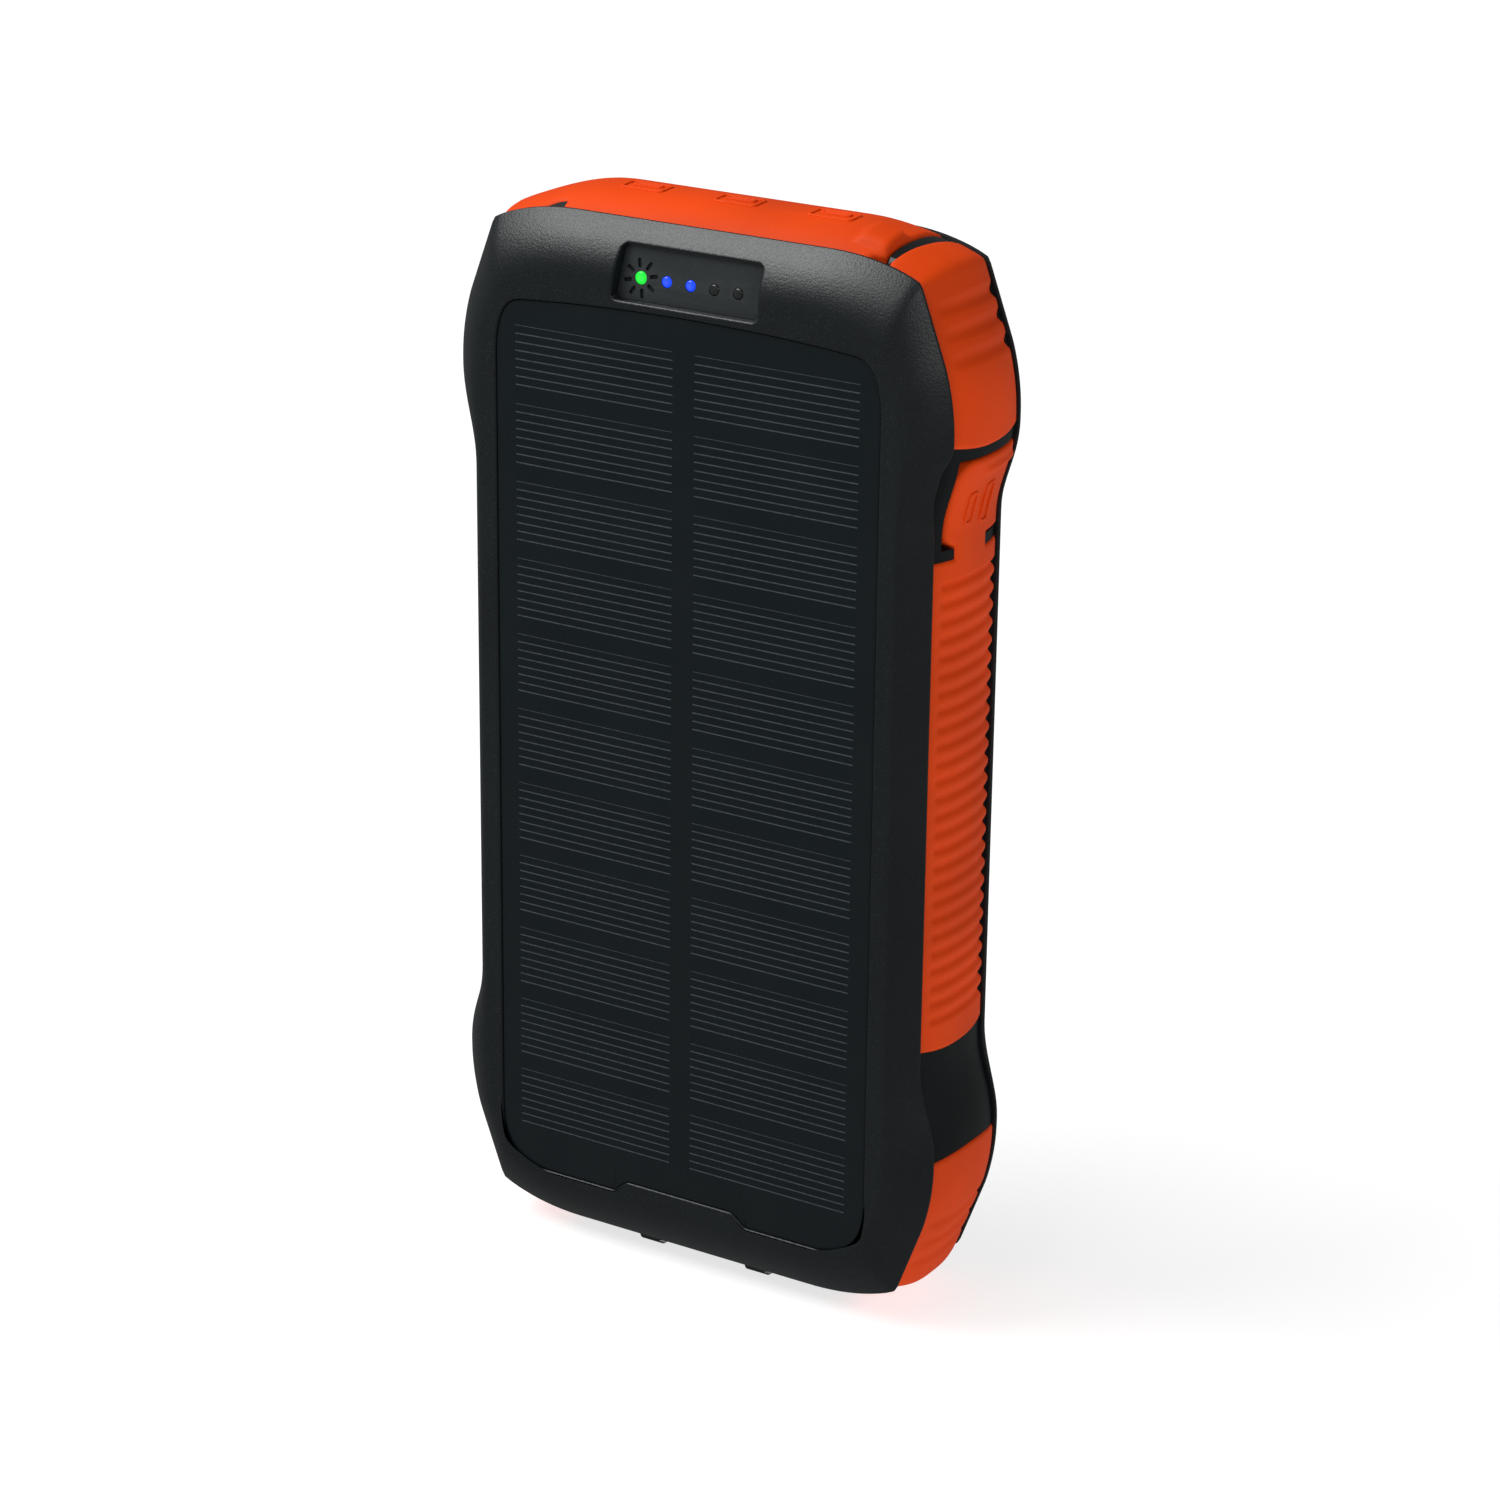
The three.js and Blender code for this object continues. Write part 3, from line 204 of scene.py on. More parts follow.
class Outline:
    """A closed outline seen from the front, by distance clockwise from the middle of its top."""

    STEP = 0.2

    def __init__(self, right, passes):
        loop = np.vstack([right, (right[:-1] * [-1, 1])[::-1]])
        reach = np.concatenate([[0], np.cumsum(np.hypot(*np.diff(loop, axis=0).T))])
        count = 4 * round(reach[-1] / self.STEP / 4)
        even = np.linspace(0, reach[-1], count, endpoint=False)
        soft = np.stack([np.interp(even, reach, loop[:, k]) for k in (0, 1)], -1)
        for _ in range(passes):
            soft = (np.roll(soft, 1, 0) + 2 * soft + np.roll(soft, -1, 0)) / 4
        self.length = reach[-1]
        self.s = np.append(even, self.length)
        self.points = np.vstack([soft, soft[:1]])
        along = np.roll(soft, -1, 0) - np.roll(soft, 1, 0)
        along /= np.hypot(*along.T)[:, None]
        normals = np.stack([-along[:, 1], along[:, 0]], -1)
        self.normals = np.vstack([normals, normals[:1]])
        half = count // 2 + 1
        self.half = self.points[:half]
        self.widest = int(np.argmax(self.half[: half // 2, 0]))
        self.lowest_wide = half // 2 + int(np.argmax(self.half[half // 2 :, 0]))

    def sample(self, s, table):
        s = np.mod(s, self.length)
        return np.stack([np.interp(s, self.s, table[:, k]) for k in (0, 1)], -1)

    def at(self, s):
        return self.sample(s, self.points)

    def out(self, s):
        return self.sample(s, self.normals)

    def over(self, x):
        """Distance of the place on the top edge at x."""
        count = self.widest + 1
        return np.sign(x) * np.interp(np.abs(x), self.half[:count, 0], self.s[:count])

    def beside(self, z):
        """Distance of the place on the right side at height z."""
        return np.interp(-np.asarray(z, float), -self.half[:, 1], self.s[: len(self.half)])

    def under(self, x):
        """Distance of the place on the bottom edge at x, on the right."""
        low = self.lowest_wide
        return np.interp(-np.asarray(x, float), -self.half[low:, 0], self.s[low : len(self.half)])


RIM_DROPS = (3.1, 15.1, 26, 42)  # drops of the corner, the chamfer's end, the bulge and the waist
LAND_DROPS = (12.5, 20, 28, 42)
PANEL_DROPS = (17, 22, 28, 42)
RIM_LINE = Outline(
    case_loop(WAIST, 22, 0, (WAIST - 3.3, WAIST + 1.2, WAIST + 2.9), RIM_DROPS), 8
)
LAND_LINE = Outline(
    case_loop(WAIST - 3.8, 20, LAND_DROP, (WAIST - 7.3, WAIST - 4.2, WAIST - 3.8), LAND_DROPS), 24
)


def on_band(s, y, depth):
    """Points of the band, a depth below the rubber's outer face."""
    s, y, depth = np.broadcast_arrays(s, y, depth)
    place, out = RIM_LINE.at(s), RIM_LINE.out(s)
    swell = 1 - np.minimum(1, np.abs(y / BAND)) ** CROWN_POWER
    on_top = (out[..., 1] > 0) * (1 - smooth(np.abs(place[..., 0]), *CROWN_ENDS))
    crown = SIDE_CROWN + (TOP_CROWN - SIDE_CROWN) * on_top
    groove = np.where(y < 0, *GROOVE)
    by = (groove + crown) * swell - groove - depth
    spot = place + out * by[..., None]
    return np.stack([spot[..., 0], y, spot[..., 1] + MID], -1)


# ------------------------------------------------------------------ mesh tools
def graded(low, high, step, near=SOFT_EDGE):
    """Values from low to high about a step apart, closer together near both ends."""
    close = near * np.array([0, 0.05, 0.18, 0.4, 0.68])
    a, b = low + near, high - near
    inner = np.linspace(a, b, max(1, round((b - a) / step)) + 1)
    return np.unique(np.round(np.concatenate([low + close, inner, high - close]), 6))


def through(breaks, step, near=SOFT_EDGE):
    """Graded values through every break."""
    parts = [graded(a, b, step, near) for a, b in zip(breaks, breaks[1:])]
    return np.unique(np.round(np.concatenate(parts), 6))


def link(name, data):
    """A new object of the scene for some data."""
    made = bpy.data.objects.new(name, data)
    bpy.context.scene.collection.objects.link(made)
    return made


def soften(mesh, sharp):
    """Smooth shading, but for edges sharper than an angle in degrees."""
    mesh.shade_smooth()
    mesh.set_sharp_from_angle(angle=math.radians(sharp))


def finished(name, mesh, work, finish, sharp):
    """A named object whose mesh takes over a work mesh and a finish, given itself or by name."""
    work.to_mesh(mesh)
    work.free()
    soften(mesh, sharp)
    mesh.materials.append(finishes()[finish] if isinstance(finish, str) else finish)
    return link(name, mesh)


def mesh_piece(name, points, faces, finish, sharp=38):
    """A named object from millimetre points, smooth but for its sharp edges."""
    mesh = bpy.data.meshes.new(name)
    mesh.from_pydata((np.asarray(points) * MM).tolist(), [], faces)
    work = bmesh.new()
    work.from_mesh(mesh)
    bmesh.ops.delete(work, geom=[v for v in work.verts if not v.link_faces], context="VERTS")
    bmesh.ops.remove_doubles(work, verts=work.verts, dist=1e-6)
    bmesh.ops.recalc_face_normals(work, faces=work.faces)
    return finished(name, mesh, work, finish, sharp)


def cell_ring(i, j, rows):
    """Corners of a cell of a grid whose last row may join its first."""
    k = (i + 1) % rows
    return [(i, j), (k, j), (k, j + 1), (i, j + 1)]


def open_edges(solid, rows):
    """Each edge between a solid cell and a hole or the outside, as the grid places of its ends.

    There are as many rows of cells as of points where the last row joins the first.
    """
    for i, j in zip(*np.nonzero(solid)):
        ring = cell_ring(i, j, rows)
        for n, (a, b) in enumerate(((i, j - 1), (i + 1, j), (i, j + 1), (i - 1, j))):
            if len(solid) == rows:
                a %= rows
            inside = 0 <= a < solid.shape[0] and 0 <= b < solid.shape[1]
            if not (inside and solid[a, b]):
                yield ring[n], ring[(n + 1) % 4]


def sheet_parts(outer, inner, solid):
    """Points and faces of a closed piece between two grids; cells that aren't solid are holes."""
    rows, columns = outer.shape[:2]
    index = np.arange(rows * columns).reshape(rows, columns)
    back = index + rows * columns
    faces = []
    for i, j in zip(*np.nonzero(solid)):
        ring = cell_ring(i, j, rows)
        faces.append([int(index[c]) for c in ring])
        faces.append([int(back[c]) for c in reversed(ring)])
    for a, b in open_edges(solid, rows):
        faces.append([int(c) for c in (index[a], back[a], back[b], index[b])])
    return np.concatenate([outer.reshape(-1, 3), inner.reshape(-1, 3)]), faces


def ribbons(name, paths, width, high, low, finish):
    """Raised lines on the band, each along a closed path of (distance, y) points."""
    across = np.array([-1, -0.85, -0.5, 0, 0.5, 0.85, 1]) * width / 2
    drop = fillet(width / 2 - np.abs(across), width * 0.35)
    points, faces = [], []
    for path in paths:
        along = np.roll(path, -1, 0) - np.roll(path, 1, 0)
        along /= np.hypot(*along.T)[:, None]
        side = np.stack([-along[:, 1], along[:, 0]], -1)
        grid = path[:, None] + side[:, None] * across[None, :, None]
        outer = on_band(grid[..., 0], grid[..., 1], high + drop)
        inner = on_band(grid[..., 0], grid[..., 1], low)
        spots, cells = sheet_parts(outer, inner, np.ones((len(path), len(across) - 1), bool))
        start = sum(len(p) for p in points)
        points.append(spots)
        faces += [[c + start for c in cell] for cell in cells]
    return mesh_piece(name, np.concatenate(points), faces, finish, 50)


def stack(name, rings, finish, sharp=38):
    """A closed piece through rings of equal counts, closed by a fan at each end."""
    count = len(rings[0])
    faces = []
    for r in range(len(rings) - 1):
        for i in range(count):
            k = (i + 1) % count
            low, high = r * count, (r + 1) * count
            faces.append([low + i, low + k, high + k, high + i])
    ends = [np.mean(rings[0], axis=0), np.mean(rings[-1], axis=0)]
    first, last = len(rings) * count, len(rings) * count + 1
    for i in range(count):
        k = (i + 1) % count
        faces.append([first, k, i])
        faces.append([last, (len(rings) - 1) * count + i, (len(rings) - 1) * count + k])
    points = np.concatenate([*rings, ends])
    return mesh_piece(name, points, faces, finish, sharp)


def turned(name, place, profile, finish, sides=48):
    """A piece turned about a line along Y, from (radius, y) points between two near that line."""
    angle = np.linspace(0, 2 * np.pi, sides, endpoint=False)
    rings = [
        np.stack([radius * np.cos(angle), np.full(sides, y), radius * np.sin(angle)], -1) + place
        for radius, y in profile
    ]
    return stack(name, rings, finish)


def soft_block(name, low, high, radius, finish, segments=4):
    """A block with rounded edges between two corners."""
    work = bmesh.new()
    bmesh.ops.create_cube(work, size=1)
    low, high = np.array(low) * MM, np.array(high) * MM
    for v in work.verts:
        v.co = Vector((low + high) / 2 + (high - low) * np.array(v.co))
    bmesh.ops.bevel(
        work, geom=work.edges, offset=radius * MM, segments=segments, profile=0.5, affect="EDGES"
    )
    return finished(name, bpy.data.meshes.new(name), work, finish, 50)


def cut(piece, cutter):
    """Takes a cutter out of a piece and removes the cutter."""
    change = piece.modifiers.new("cut", "BOOLEAN")
    change.operation, change.solver, change.object = "DIFFERENCE", "EXACT", cutter
    graph = bpy.context.evaluated_depsgraph_get()
    mesh = bpy.data.meshes.new_from_object(piece.evaluated_get(graph))
    mesh.name = piece.name
    piece.modifiers.clear()
    piece.data = mesh
    bpy.data.objects.remove(cutter)
    soften(mesh, 30)


def settle(piece, body, slot, *nodes):
    """Gives a piece its body and hides the nodes that it stands for; its slot is not used."""
    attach(piece, body)
    if nodes:
        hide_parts(*nodes)


def edge_distance(s, y, solid):
    """Distance of each grid point from the nearest edge of the solid cells."""
    spots = np.stack([s, y], -1)
    ends = np.array([(spots[a], spots[b]) for a, b in open_edges(solid, len(s))])
    first, run = ends[:, 0], ends[:, 1] - ends[:, 0]
    size = np.maximum(1e-9, (run**2).sum(-1))
    out = np.empty(s.shape)
    for i, row in enumerate(spots):
        gap = row[:, None] - first[None]
        t = np.clip((gap * run).sum(-1) / size, 0, 1)
        near = gap - t[..., None] * run
        out[i] = np.sqrt((near**2).sum(-1).min(-1))
    return out


def halfway(grid, axis):
    """Means of neighbours along an axis of a grid, one for each cell."""
    return (np.roll(grid, -1, axis) + grid)[:-1, :-1] / 2


def rows_through(breaks, y, step, near=SOFT_EDGE):
    """A grid of distances: rows graded between breaks, each a number or a value for every y."""
    lines = [np.broadcast_to(np.asarray(b, float), y.shape) for b in breaks]
    rows = []
    mid = len(y) // 2
    for low, high in zip(lines, lines[1:]):
        size = high[mid] - low[mid]
        share = graded(0, size, step, min(near, size / 3)) / size
        rows += [low + (high - low) * f for f in share[:-1]]
    rows.append(lines[-1])
    return np.array(rows)


# ------------------------------------------------------------------ shader tools
class Wire:
    """A shader socket that takes part in ordinary arithmetic."""

    def __init__(self, finish, socket):
        self.finish = finish
        self.socket = socket

    def maths(self, operation, *values):
        return self.finish.node("Math", {"operation": operation}, dict(enumerate(values)))

    def __add__(self, other):
        return self.maths("ADD", self, other)

    def __sub__(self, other):
        return self.maths("SUBTRACT", self, other)

    def __rsub__(self, other):
        return self.maths("SUBTRACT", other, self)

    def __mul__(self, other):
        return self.maths("MULTIPLY", self, other)

    def __pow__(self, other):
        return self.maths("POWER", self, other)

    def __lt__(self, other):
        return self.maths("LESS_THAN", self, other)

    def __gt__(self, other):
        return self.maths("GREATER_THAN", self, other)

    def __abs__(self):
        return self.maths("ABSOLUTE", self)

    def __mod__(self, other):
        return self.maths("FLOORED_MODULO", self, other)

    def steps(self, low, high):
        """Rises smoothly from 0 at low to 1 at high."""
        values = {0: self, 1: low, 2: high, 3: 0.0, 4: 1.0}
        return self.finish.node("MapRange", {"interpolation_type": "SMOOTHSTEP"}, values)


class Finish:
    """A material with a Principled shader, built by code."""

    def __init__(self, name, roughness=0.5, specular=0.5, metallic=0.0):
        self.material = bpy.data.materials.new(name)
        self.material.use_nodes = True
        self.tree = self.material.node_tree
        self.shader = self.tree.nodes["Principled BSDF"]
        self.set({"Roughness": roughness, "Metallic": metallic, "Specular IOR Level": specular})
        self.place = self.node("TexCoord", out="Object")

    def node(self, kind, settings=None, inputs=None, out=0):
        """Adds a node, sets it up, feeds its sockets and gives one of its outputs."""
        made = self.tree.nodes.new("ShaderNode" + kind)
        for key, value in (settings or {}).items():
            setattr(made, key, value)
        for key, value in (inputs or {}).items():
            self.feed(made.inputs[key], value)
        return Wire(self, made.outputs[out])

    def feed(self, socket, value):
        if isinstance(value, Wire):
            self.tree.links.new(value.socket, socket)
        elif socket.type == "RGBA" and len(value) == 3:
            socket.default_value = (*value, 1)
        else:
            socket.default_value = value

    def set(self, values):
        for key, value in values.items():
            self.feed(self.shader.inputs[key], value)

    def axes(self):
        """The place on the object along X, Y and Z, in millimetres."""
        parts = self.node("SeparateXYZ", inputs={0: self.place})
        sockets = parts.socket.node.outputs
        return [Wire(self, socket) * (1 / MM) for socket in sockets]

    def noise(self, size, detail=2, roughness=0.5):
        """Grey noise with features of a size in millimetres."""
        values = {"Scale": 1 / (size * MM), "Detail": detail, "Roughness": roughness}
        return self.node("TexNoise", inputs={"Vector": self.place, **values})

    def blend(self, share, first, second, mode="MIX"):
        """Mixes two colours by a share."""
        settings = {"data_type": "RGBA", "blend_type": mode}
        made = self.node("Mix", settings)
        node = made.socket.node
        for n, value in ((0, share), (6, first), (7, second)):
            self.feed(node.inputs[n], value)
        return Wire(self, node.outputs[2])

    def bump(self, height, depth):
        """Normals for a height from 0 to 1 that stands for a depth in millimetres."""
        return self.node("Bump", inputs={"Strength": 1.0, "Distance": depth * MM, "Height": height})

    def edge_wear_and_highlight(self):
        """1 on outer edges, 0 elsewhere: the mask of edges paled by wear and a painted highlight.
        """
        edge = self.node("NewGeometry", out="Pointiness")
        return edge.steps(0.515, 0.60)


def moulded(name, shade, grain=0.35, depth=0.012, roughness=0.5, specular=0.3, glint_gain=1.6, edge_wear_and_highlight_gain=1.5):
    """Moulded plastic or rubber: fine grain, small specks of painted glint, soft patches and paler
    edges of wear and painted highlight.
    """
    finish = Finish(name, roughness, specular)
    fine = finish.noise(grain, 3, 0.6)
    patch = finish.noise(22, 2)
    # Brighter specks in the base colour: painted glints that stand in for the plastic's sparkle.
    glint_specks = finish.noise(grain * 0.7, 1, 0.4).steps(0.6, 0.78)
    base = finish.blend(patch.steps(0.3, 0.7), [c * 0.9 for c in shade], [c * 1.08 for c in shade])
    glinted = finish.blend(glint_specks * 0.7, base, [min(1, c * glint_gain) for c in shade])
    # Paler outer edges: partly wear, partly a painted highlight along the edges.
    with_edge_wear_and_highlight = finish.blend(finish.edge_wear_and_highlight() * 0.6, glinted, [min(1, c * edge_wear_and_highlight_gain) for c in shade])
    rough = (fine - 0.5) * 0.16 + (patch - 0.5) * 0.10 + roughness
    finish.set({"Base Color": with_edge_wear_and_highlight, "Roughness": rough, "Normal": finish.bump(fine, depth)})
    return finish.material


def metal(name, shade, roughness, brushed=(0.3, 0.3, 6.0)):
    """Plated or brushed metal with fine streaks."""
    finish = Finish(name, roughness, 0.5, 1.0)
    scaled = finish.node(
        "Mapping", inputs={"Vector": finish.place, "Scale": [1 / (b * MM) for b in brushed]}
    )
    streak = finish.node("TexNoise", inputs={"Vector": scaled, "Scale": 1.0, "Detail": 3})
    stain = finish.noise(5, 2)
    tone = finish.blend(stain.steps(0.35, 0.7), [c * 0.88 for c in shade], shade)
    rough = (streak - 0.5) * 0.18 + roughness
    finish.set({"Base Color": tone, "Roughness": rough, "Normal": finish.bump(streak, 0.004)})
    return finish.material


def solar_cells():
    """Dark cells under a satin sheet: two columns of groups of thin pale fingers."""
    finish = Finish("panel_laminate", 0.3, 0.35)
    x, _, z = finish.axes()
    across = abs(x)
    group = (z - (MID + FINGER_TOP)) * (-1 / GROUP_PITCH)
    inside = (group % 1.0) * GROUP_PITCH
    line = abs((inside + FINGER_PITCH / 2) % FINGER_PITCH - FINGER_PITCH / 2)
    finger = 1 - line.steps(FINGER_WIDTH * 0.3, FINGER_WIDTH * 0.75)
    in_group = inside < FINGER_PITCH * 7.5
    in_column = (across > FINGER_X[0]) * (across < FINGER_X[1])
    in_height = (z < MID + FINGER_TOP + 0.4) * (z > MID + FINGER_BASE - 0.4)
    broken = finish.noise(0.8, 2).steps(0.25, 0.6) * 0.35 + 0.65
    fingers = finger * in_group * in_column * in_height * broken
    cell = in_column * in_height
    mottled = finish.noise(9, 3)
    weave = finish.noise(0.22, 1)
    sheet_tone = finish.blend(mottled, (0.0030, 0.0060, 0.0074), (0.0045, 0.0080, 0.0094))
    cell_tone = finish.blend(mottled, (0.0026, 0.0056, 0.0078), (0.0040, 0.0076, 0.0102))
    tone = finish.blend(cell, sheet_tone, cell_tone)
    lined = finish.blend(fingers * 0.8, tone, (0.060, 0.074, 0.084))
    rough = (weave - 0.5) * 0.12 + mottled * 0.08 + 0.30
    finish.set({"Base Color": lined, "Roughness": rough, "Normal": finish.bump(weave, 0.004)})
    return finish.material


def lamp(name, core, ring, strength, centre):
    """A clear pin lit from behind: bright in the middle, deeper towards its edge."""
    finish = Finish(name, 0.18, 0.5)
    x, _, z = finish.axes()
    u, v = x - centre[0], z - centre[1]
    off = (u * u + v * v) ** 0.5
    glow = finish.blend(off.steps(0.15, 0.8), core, ring)
    grain = finish.noise(0.3, 1)
    finish.set({
        "Base Color": [c * 0.3 + 0.01 for c in ring],
        "Roughness": grain * 0.1 + 0.12,
        "Emission Color": glow,
        "Emission Strength": strength,
    })
    return finish.material


def clear(name, shade):
    """Clear moulded plastic with a faint ripple."""
    finish = Finish(name, 0.08, 0.5)
    ripple = finish.noise(3, 2)
    finish.set({"Base Color": shade, "Transmission Weight": 1.0, "IOR": 1.49,
                "Roughness": ripple * 0.06 + 0.05, "Normal": finish.bump(ripple, 0.02)})
    return finish.material


FINGER_PITCH = 1.34
GROUP_PITCH = 12.386
FINGER_WIDTH = 0.17
FINGER_X = (1.96, 30.56)
FINGER_TOP = 66
FINGER_BASE = -67.2
MOULDED = {  # colour, grain, depth of the grain, roughness, specular, specks of painted glint, and edges paled by wear and painted highlight
    "rubber_black": ((0.010, 0.011, 0.012), 0.35, 0.01, 0.6, 0.25, 1.5),
    "window_smoked": ((0.022, 0.026, 0.027), 0.3, 0.012, 0.4, 0.3, 1.8),
    "board_green": ((0.01, 0.09, 0.04), 0.5, 0.01, 0.35, 0.5, 1.6),
    "chip_black": ((0.012, 0.012, 0.014), 0.2, 0.01, 0.5, 0.3),
    "led_body": ((0.70, 0.66, 0.45), 0.3, 0.005, 0.4, 0.4),
    "foam": ((0.02, 0.02, 0.022), 0.6, 0.08, 0.9, 0.1, 2.0),
    "tape": ((0.03, 0.03, 0.03), 0.5, 0.02, 0.7, 0.2),
    "lead_red": ((0.30, 0.02, 0.015), 0.4, 0.005, 0.45, 0.3),
}
METALS = {  # colour, roughness and the streaks' size along each axis
    "steel": ((0.62, 0.63, 0.66), 0.3),
    "screw_steel": ((0.10, 0.10, 0.11), 0.4),
    "cell_foil": ((0.60, 0.63, 0.66), 0.35, (4, 4, 4)),
    "reflector_silver": ((0.88, 0.89, 0.90), 0.1, (2, 2, 2)),
}
FINISHES = {}


def finishes():
    """Every finish, by its name, made once."""
    if not FINISHES:
        look = bpy.context.scene.bank_look
        orange, black = tuple(look.orange), tuple(look.black)
        tones = {
            "shell_black": (black, 0.36, 0.06, 0.4, 0.42, 3.0),
            "band_black": ([c * 0.8 for c in black], 0.3, 0.008, 0.42, 0.3, 1.4),
            "rubber_orange": (orange, 0.3, 0.007, 0.6, 0.12, 1.12, 1.15),
            **MOULDED,
        }
        FINISHES.update({name: moulded(name, *values) for name, values in tones.items()})
        FINISHES.update({name: metal(name, *values) for name, values in METALS.items()})
        FINISHES["panel_laminate"] = solar_cells()
        FINISHES["lens_clear"] = clear("lens_clear", (0.93, 0.95, 0.96))
    return FINISHES


# ------------------------------------------------------------------ covers and panel
TOP_XS = through([0, *PANEL_STEP, WINDOW_SIZE[0] / 2, 20], 1.6, 0.5)
SIDE_STEPS = (12, 12, 12, 14, 22)  # rows between the corner, chamfer, bulge, waist and middle


def panel_loop():
    """Right half of the panel's outline, with the raised middle of its lower edge."""
    side, top, base = PANEL_HIGH[0], PANEL_HIGH[2] - MID - 1.3, PANEL_LOW[2] - MID
    return right_half((0, top + 1.3), [
        [(side / 2, top + 1.25), (side - 4, top), 40],
        [(side - 0.4, top - 0.6), (side, top - 8), 40],
        [(side, base + 8.5), 40],
        [(side - 0.4, base), (side - 5, base), 40],
        [(PANEL_STEP[1], base), 40],
        [(PANEL_STEP[0], base + 2), 8],
        [(0, base + 2), 40],
    ])


PANEL_LINE = Outline(panel_loop(), 4)


def ring_of(line, drops):
    """Points of an outline that match those of the other outlines one by one."""
    heights = [from_top(drop) for drop in drops]
    keys = [line.over(TOP_XS[-1]), *map(line.beside, heights), line.beside(0)]
    keys += [*(line.beside(-z) for z in reversed(heights)), line.under(TOP_XS[-1])]
    s = [line.over(TOP_XS)[:-1]]
    for a, b, n in zip(keys, keys[1:], SIDE_STEPS + SIDE_STEPS[::-1]):
        s.append(np.linspace(a, b, n, endpoint=False))
    s.append(line.under(TOP_XS[::-1]))
    right = np.concatenate(s)
    left = line.length - right[1:-1][::-1]
    return line.at(np.concatenate([right, left]))


RIM_RING = ring_of(RIM_LINE, RIM_DROPS)
LAND_RING = ring_of(LAND_LINE, LAND_DROPS)
PANEL_RING = ring_of(PANEL_LINE, PANEL_DROPS)


def outset(ring, by):
    """A ring moved outwards."""
    along = np.roll(ring, -1, 0) - np.roll(ring, 1, 0)
    along /= np.hypot(*along.T)[:, None]
    return ring + np.stack([-along[:, 1], along[:, 0]], -1) * by


def ring_at(ring, y):
    return np.stack([ring[:, 0], np.broadcast_to(y, len(ring)), ring[:, 1] + MID], -1)


def bevel_level(share):
    """How far the bevel has come forward at a share of the way from the rim to the land."""
    return 1 - (1 - share) ** BEVEL_POWER


def window_distance(x, drop):
    """Signed distance to the indicator window's edge, negative inside."""
    half_w, half_h, r = WINDOW_SIZE[0] / 2, WINDOW_SIZE[1] / 2, WINDOW_CORNER
    qx, qv = np.abs(x) - half_w + r, np.abs(drop - WINDOW_DROP) / math.cos(WINDOW_TILT) - half_h + r
    return np.hypot(np.maximum(qx, 0), np.maximum(qv, 0)) + np.minimum(np.maximum(qx, qv), 0) - r


def window_level(drop):
    """Y of the window's face."""
    return -FACE + WINDOW_LEVEL - (drop - WINDOW_DROP) * math.tan(WINDOW_TILT)


def lean(x, drop):
    """Moves the left part of the window's surroundings, so that its left end leans."""
    rise = np.clip(0.5 - (drop - WINDOW_DROP) / WINDOW_SIZE[1], 0, 1)
    weight = (1 - smooth(np.abs(x), 14, 20)) * (x < 0)
    return x * (1 - rise / 13 * weight)


def recessed(ring, y):
    """A level of the front cover with the window's recess in it."""
    drop = TOP - ring[:, 1]
    near = (np.abs(ring[:, 0]) < TOP_XS[-1] + 0.5) & (drop < LAND_DROP + 4)
    gap = window_distance(ring[:, 0], drop)
    level = np.where(near, y + fillet(gap, 0.4), y)
    level = np.where(near & (gap < -0.01), window_level(drop) + 0.33, level)
    placed = ring.copy()
    placed[:, 0] = np.where(near, lean(ring[:, 0], drop), ring[:, 0])
    return ring_at(placed, level)


def scoop(x, z):
    """How much of the finger scoop in front of the side flap there is at a place on the rim."""
    drop = TOP - z
    begin, end = SCOOP_DROPS
    return (x > 0) * smooth(drop, *begin) * (1 - smooth(drop, *end))


def outer_levels(inward, scooped=0):
    """Rings of a cover's skin from the frame on to the land, as (ring, y), the land at -FACE."""
    depth = FACE - BAND - 0.6
    away = scooped * scoop(RIM_RING[:, 0], RIM_RING[:, 1])
    rim = RIM_RING - np.stack([away, 0 * away], -1)
    drops = through([0, *RECESS_DROP, LAND_DROP + LEDGE], 0.6, 0.5)
    levels = [(outset(rim, -0.25), -BAND), (outset(rim, -0.05), -BAND - 0.08)]
    levels += [(rim, -BAND - 0.2), (rim, -BAND - 0.45)]
    gap = inward - LAND_RING
    ledge_share = LEDGE / np.maximum(LEDGE + 0.05, np.hypot(*gap.T))
    on_top = (np.abs(LAND_RING[:, 0]) <= TOP_XS[-1] + 0.01) & (LAND_RING[:, 1] > 0)
    straight = LEDGE / np.maximum(1e-9, np.abs(gap[:, 1]))
    ledge_share = np.where(on_top, straight, np.clip(ledge_share, 0.5, 0.8))
    for drop in drops:
        if drop <= LAND_DROP:
            share = drop / LAND_DROP
            ring = rim + (LAND_RING - rim) * share
            level = -BAND - 0.6 - depth * bevel_level(share)
            if drop == 0:
                ring, level = outset(rim, -0.06), level - 0.04
        else:
            ring = LAND_RING + gap * (ledge_share * (drop - LAND_DROP) / LEDGE)[:, None]
            level = -FACE
        levels.append((ring, level))
    return levels


def inner_rings(side=1):
    """Rings of a cover's hollow, from its middle to the frame."""
    inner = RIM_RING + (LAND_RING - RIM_RING) * 1.15
    wall = FACE - 4.0
    places = (inner * 0.9, -wall), (inner, -wall), (inner, -BAND)
    return [ring_at(ring, y * side) for ring, y in places]


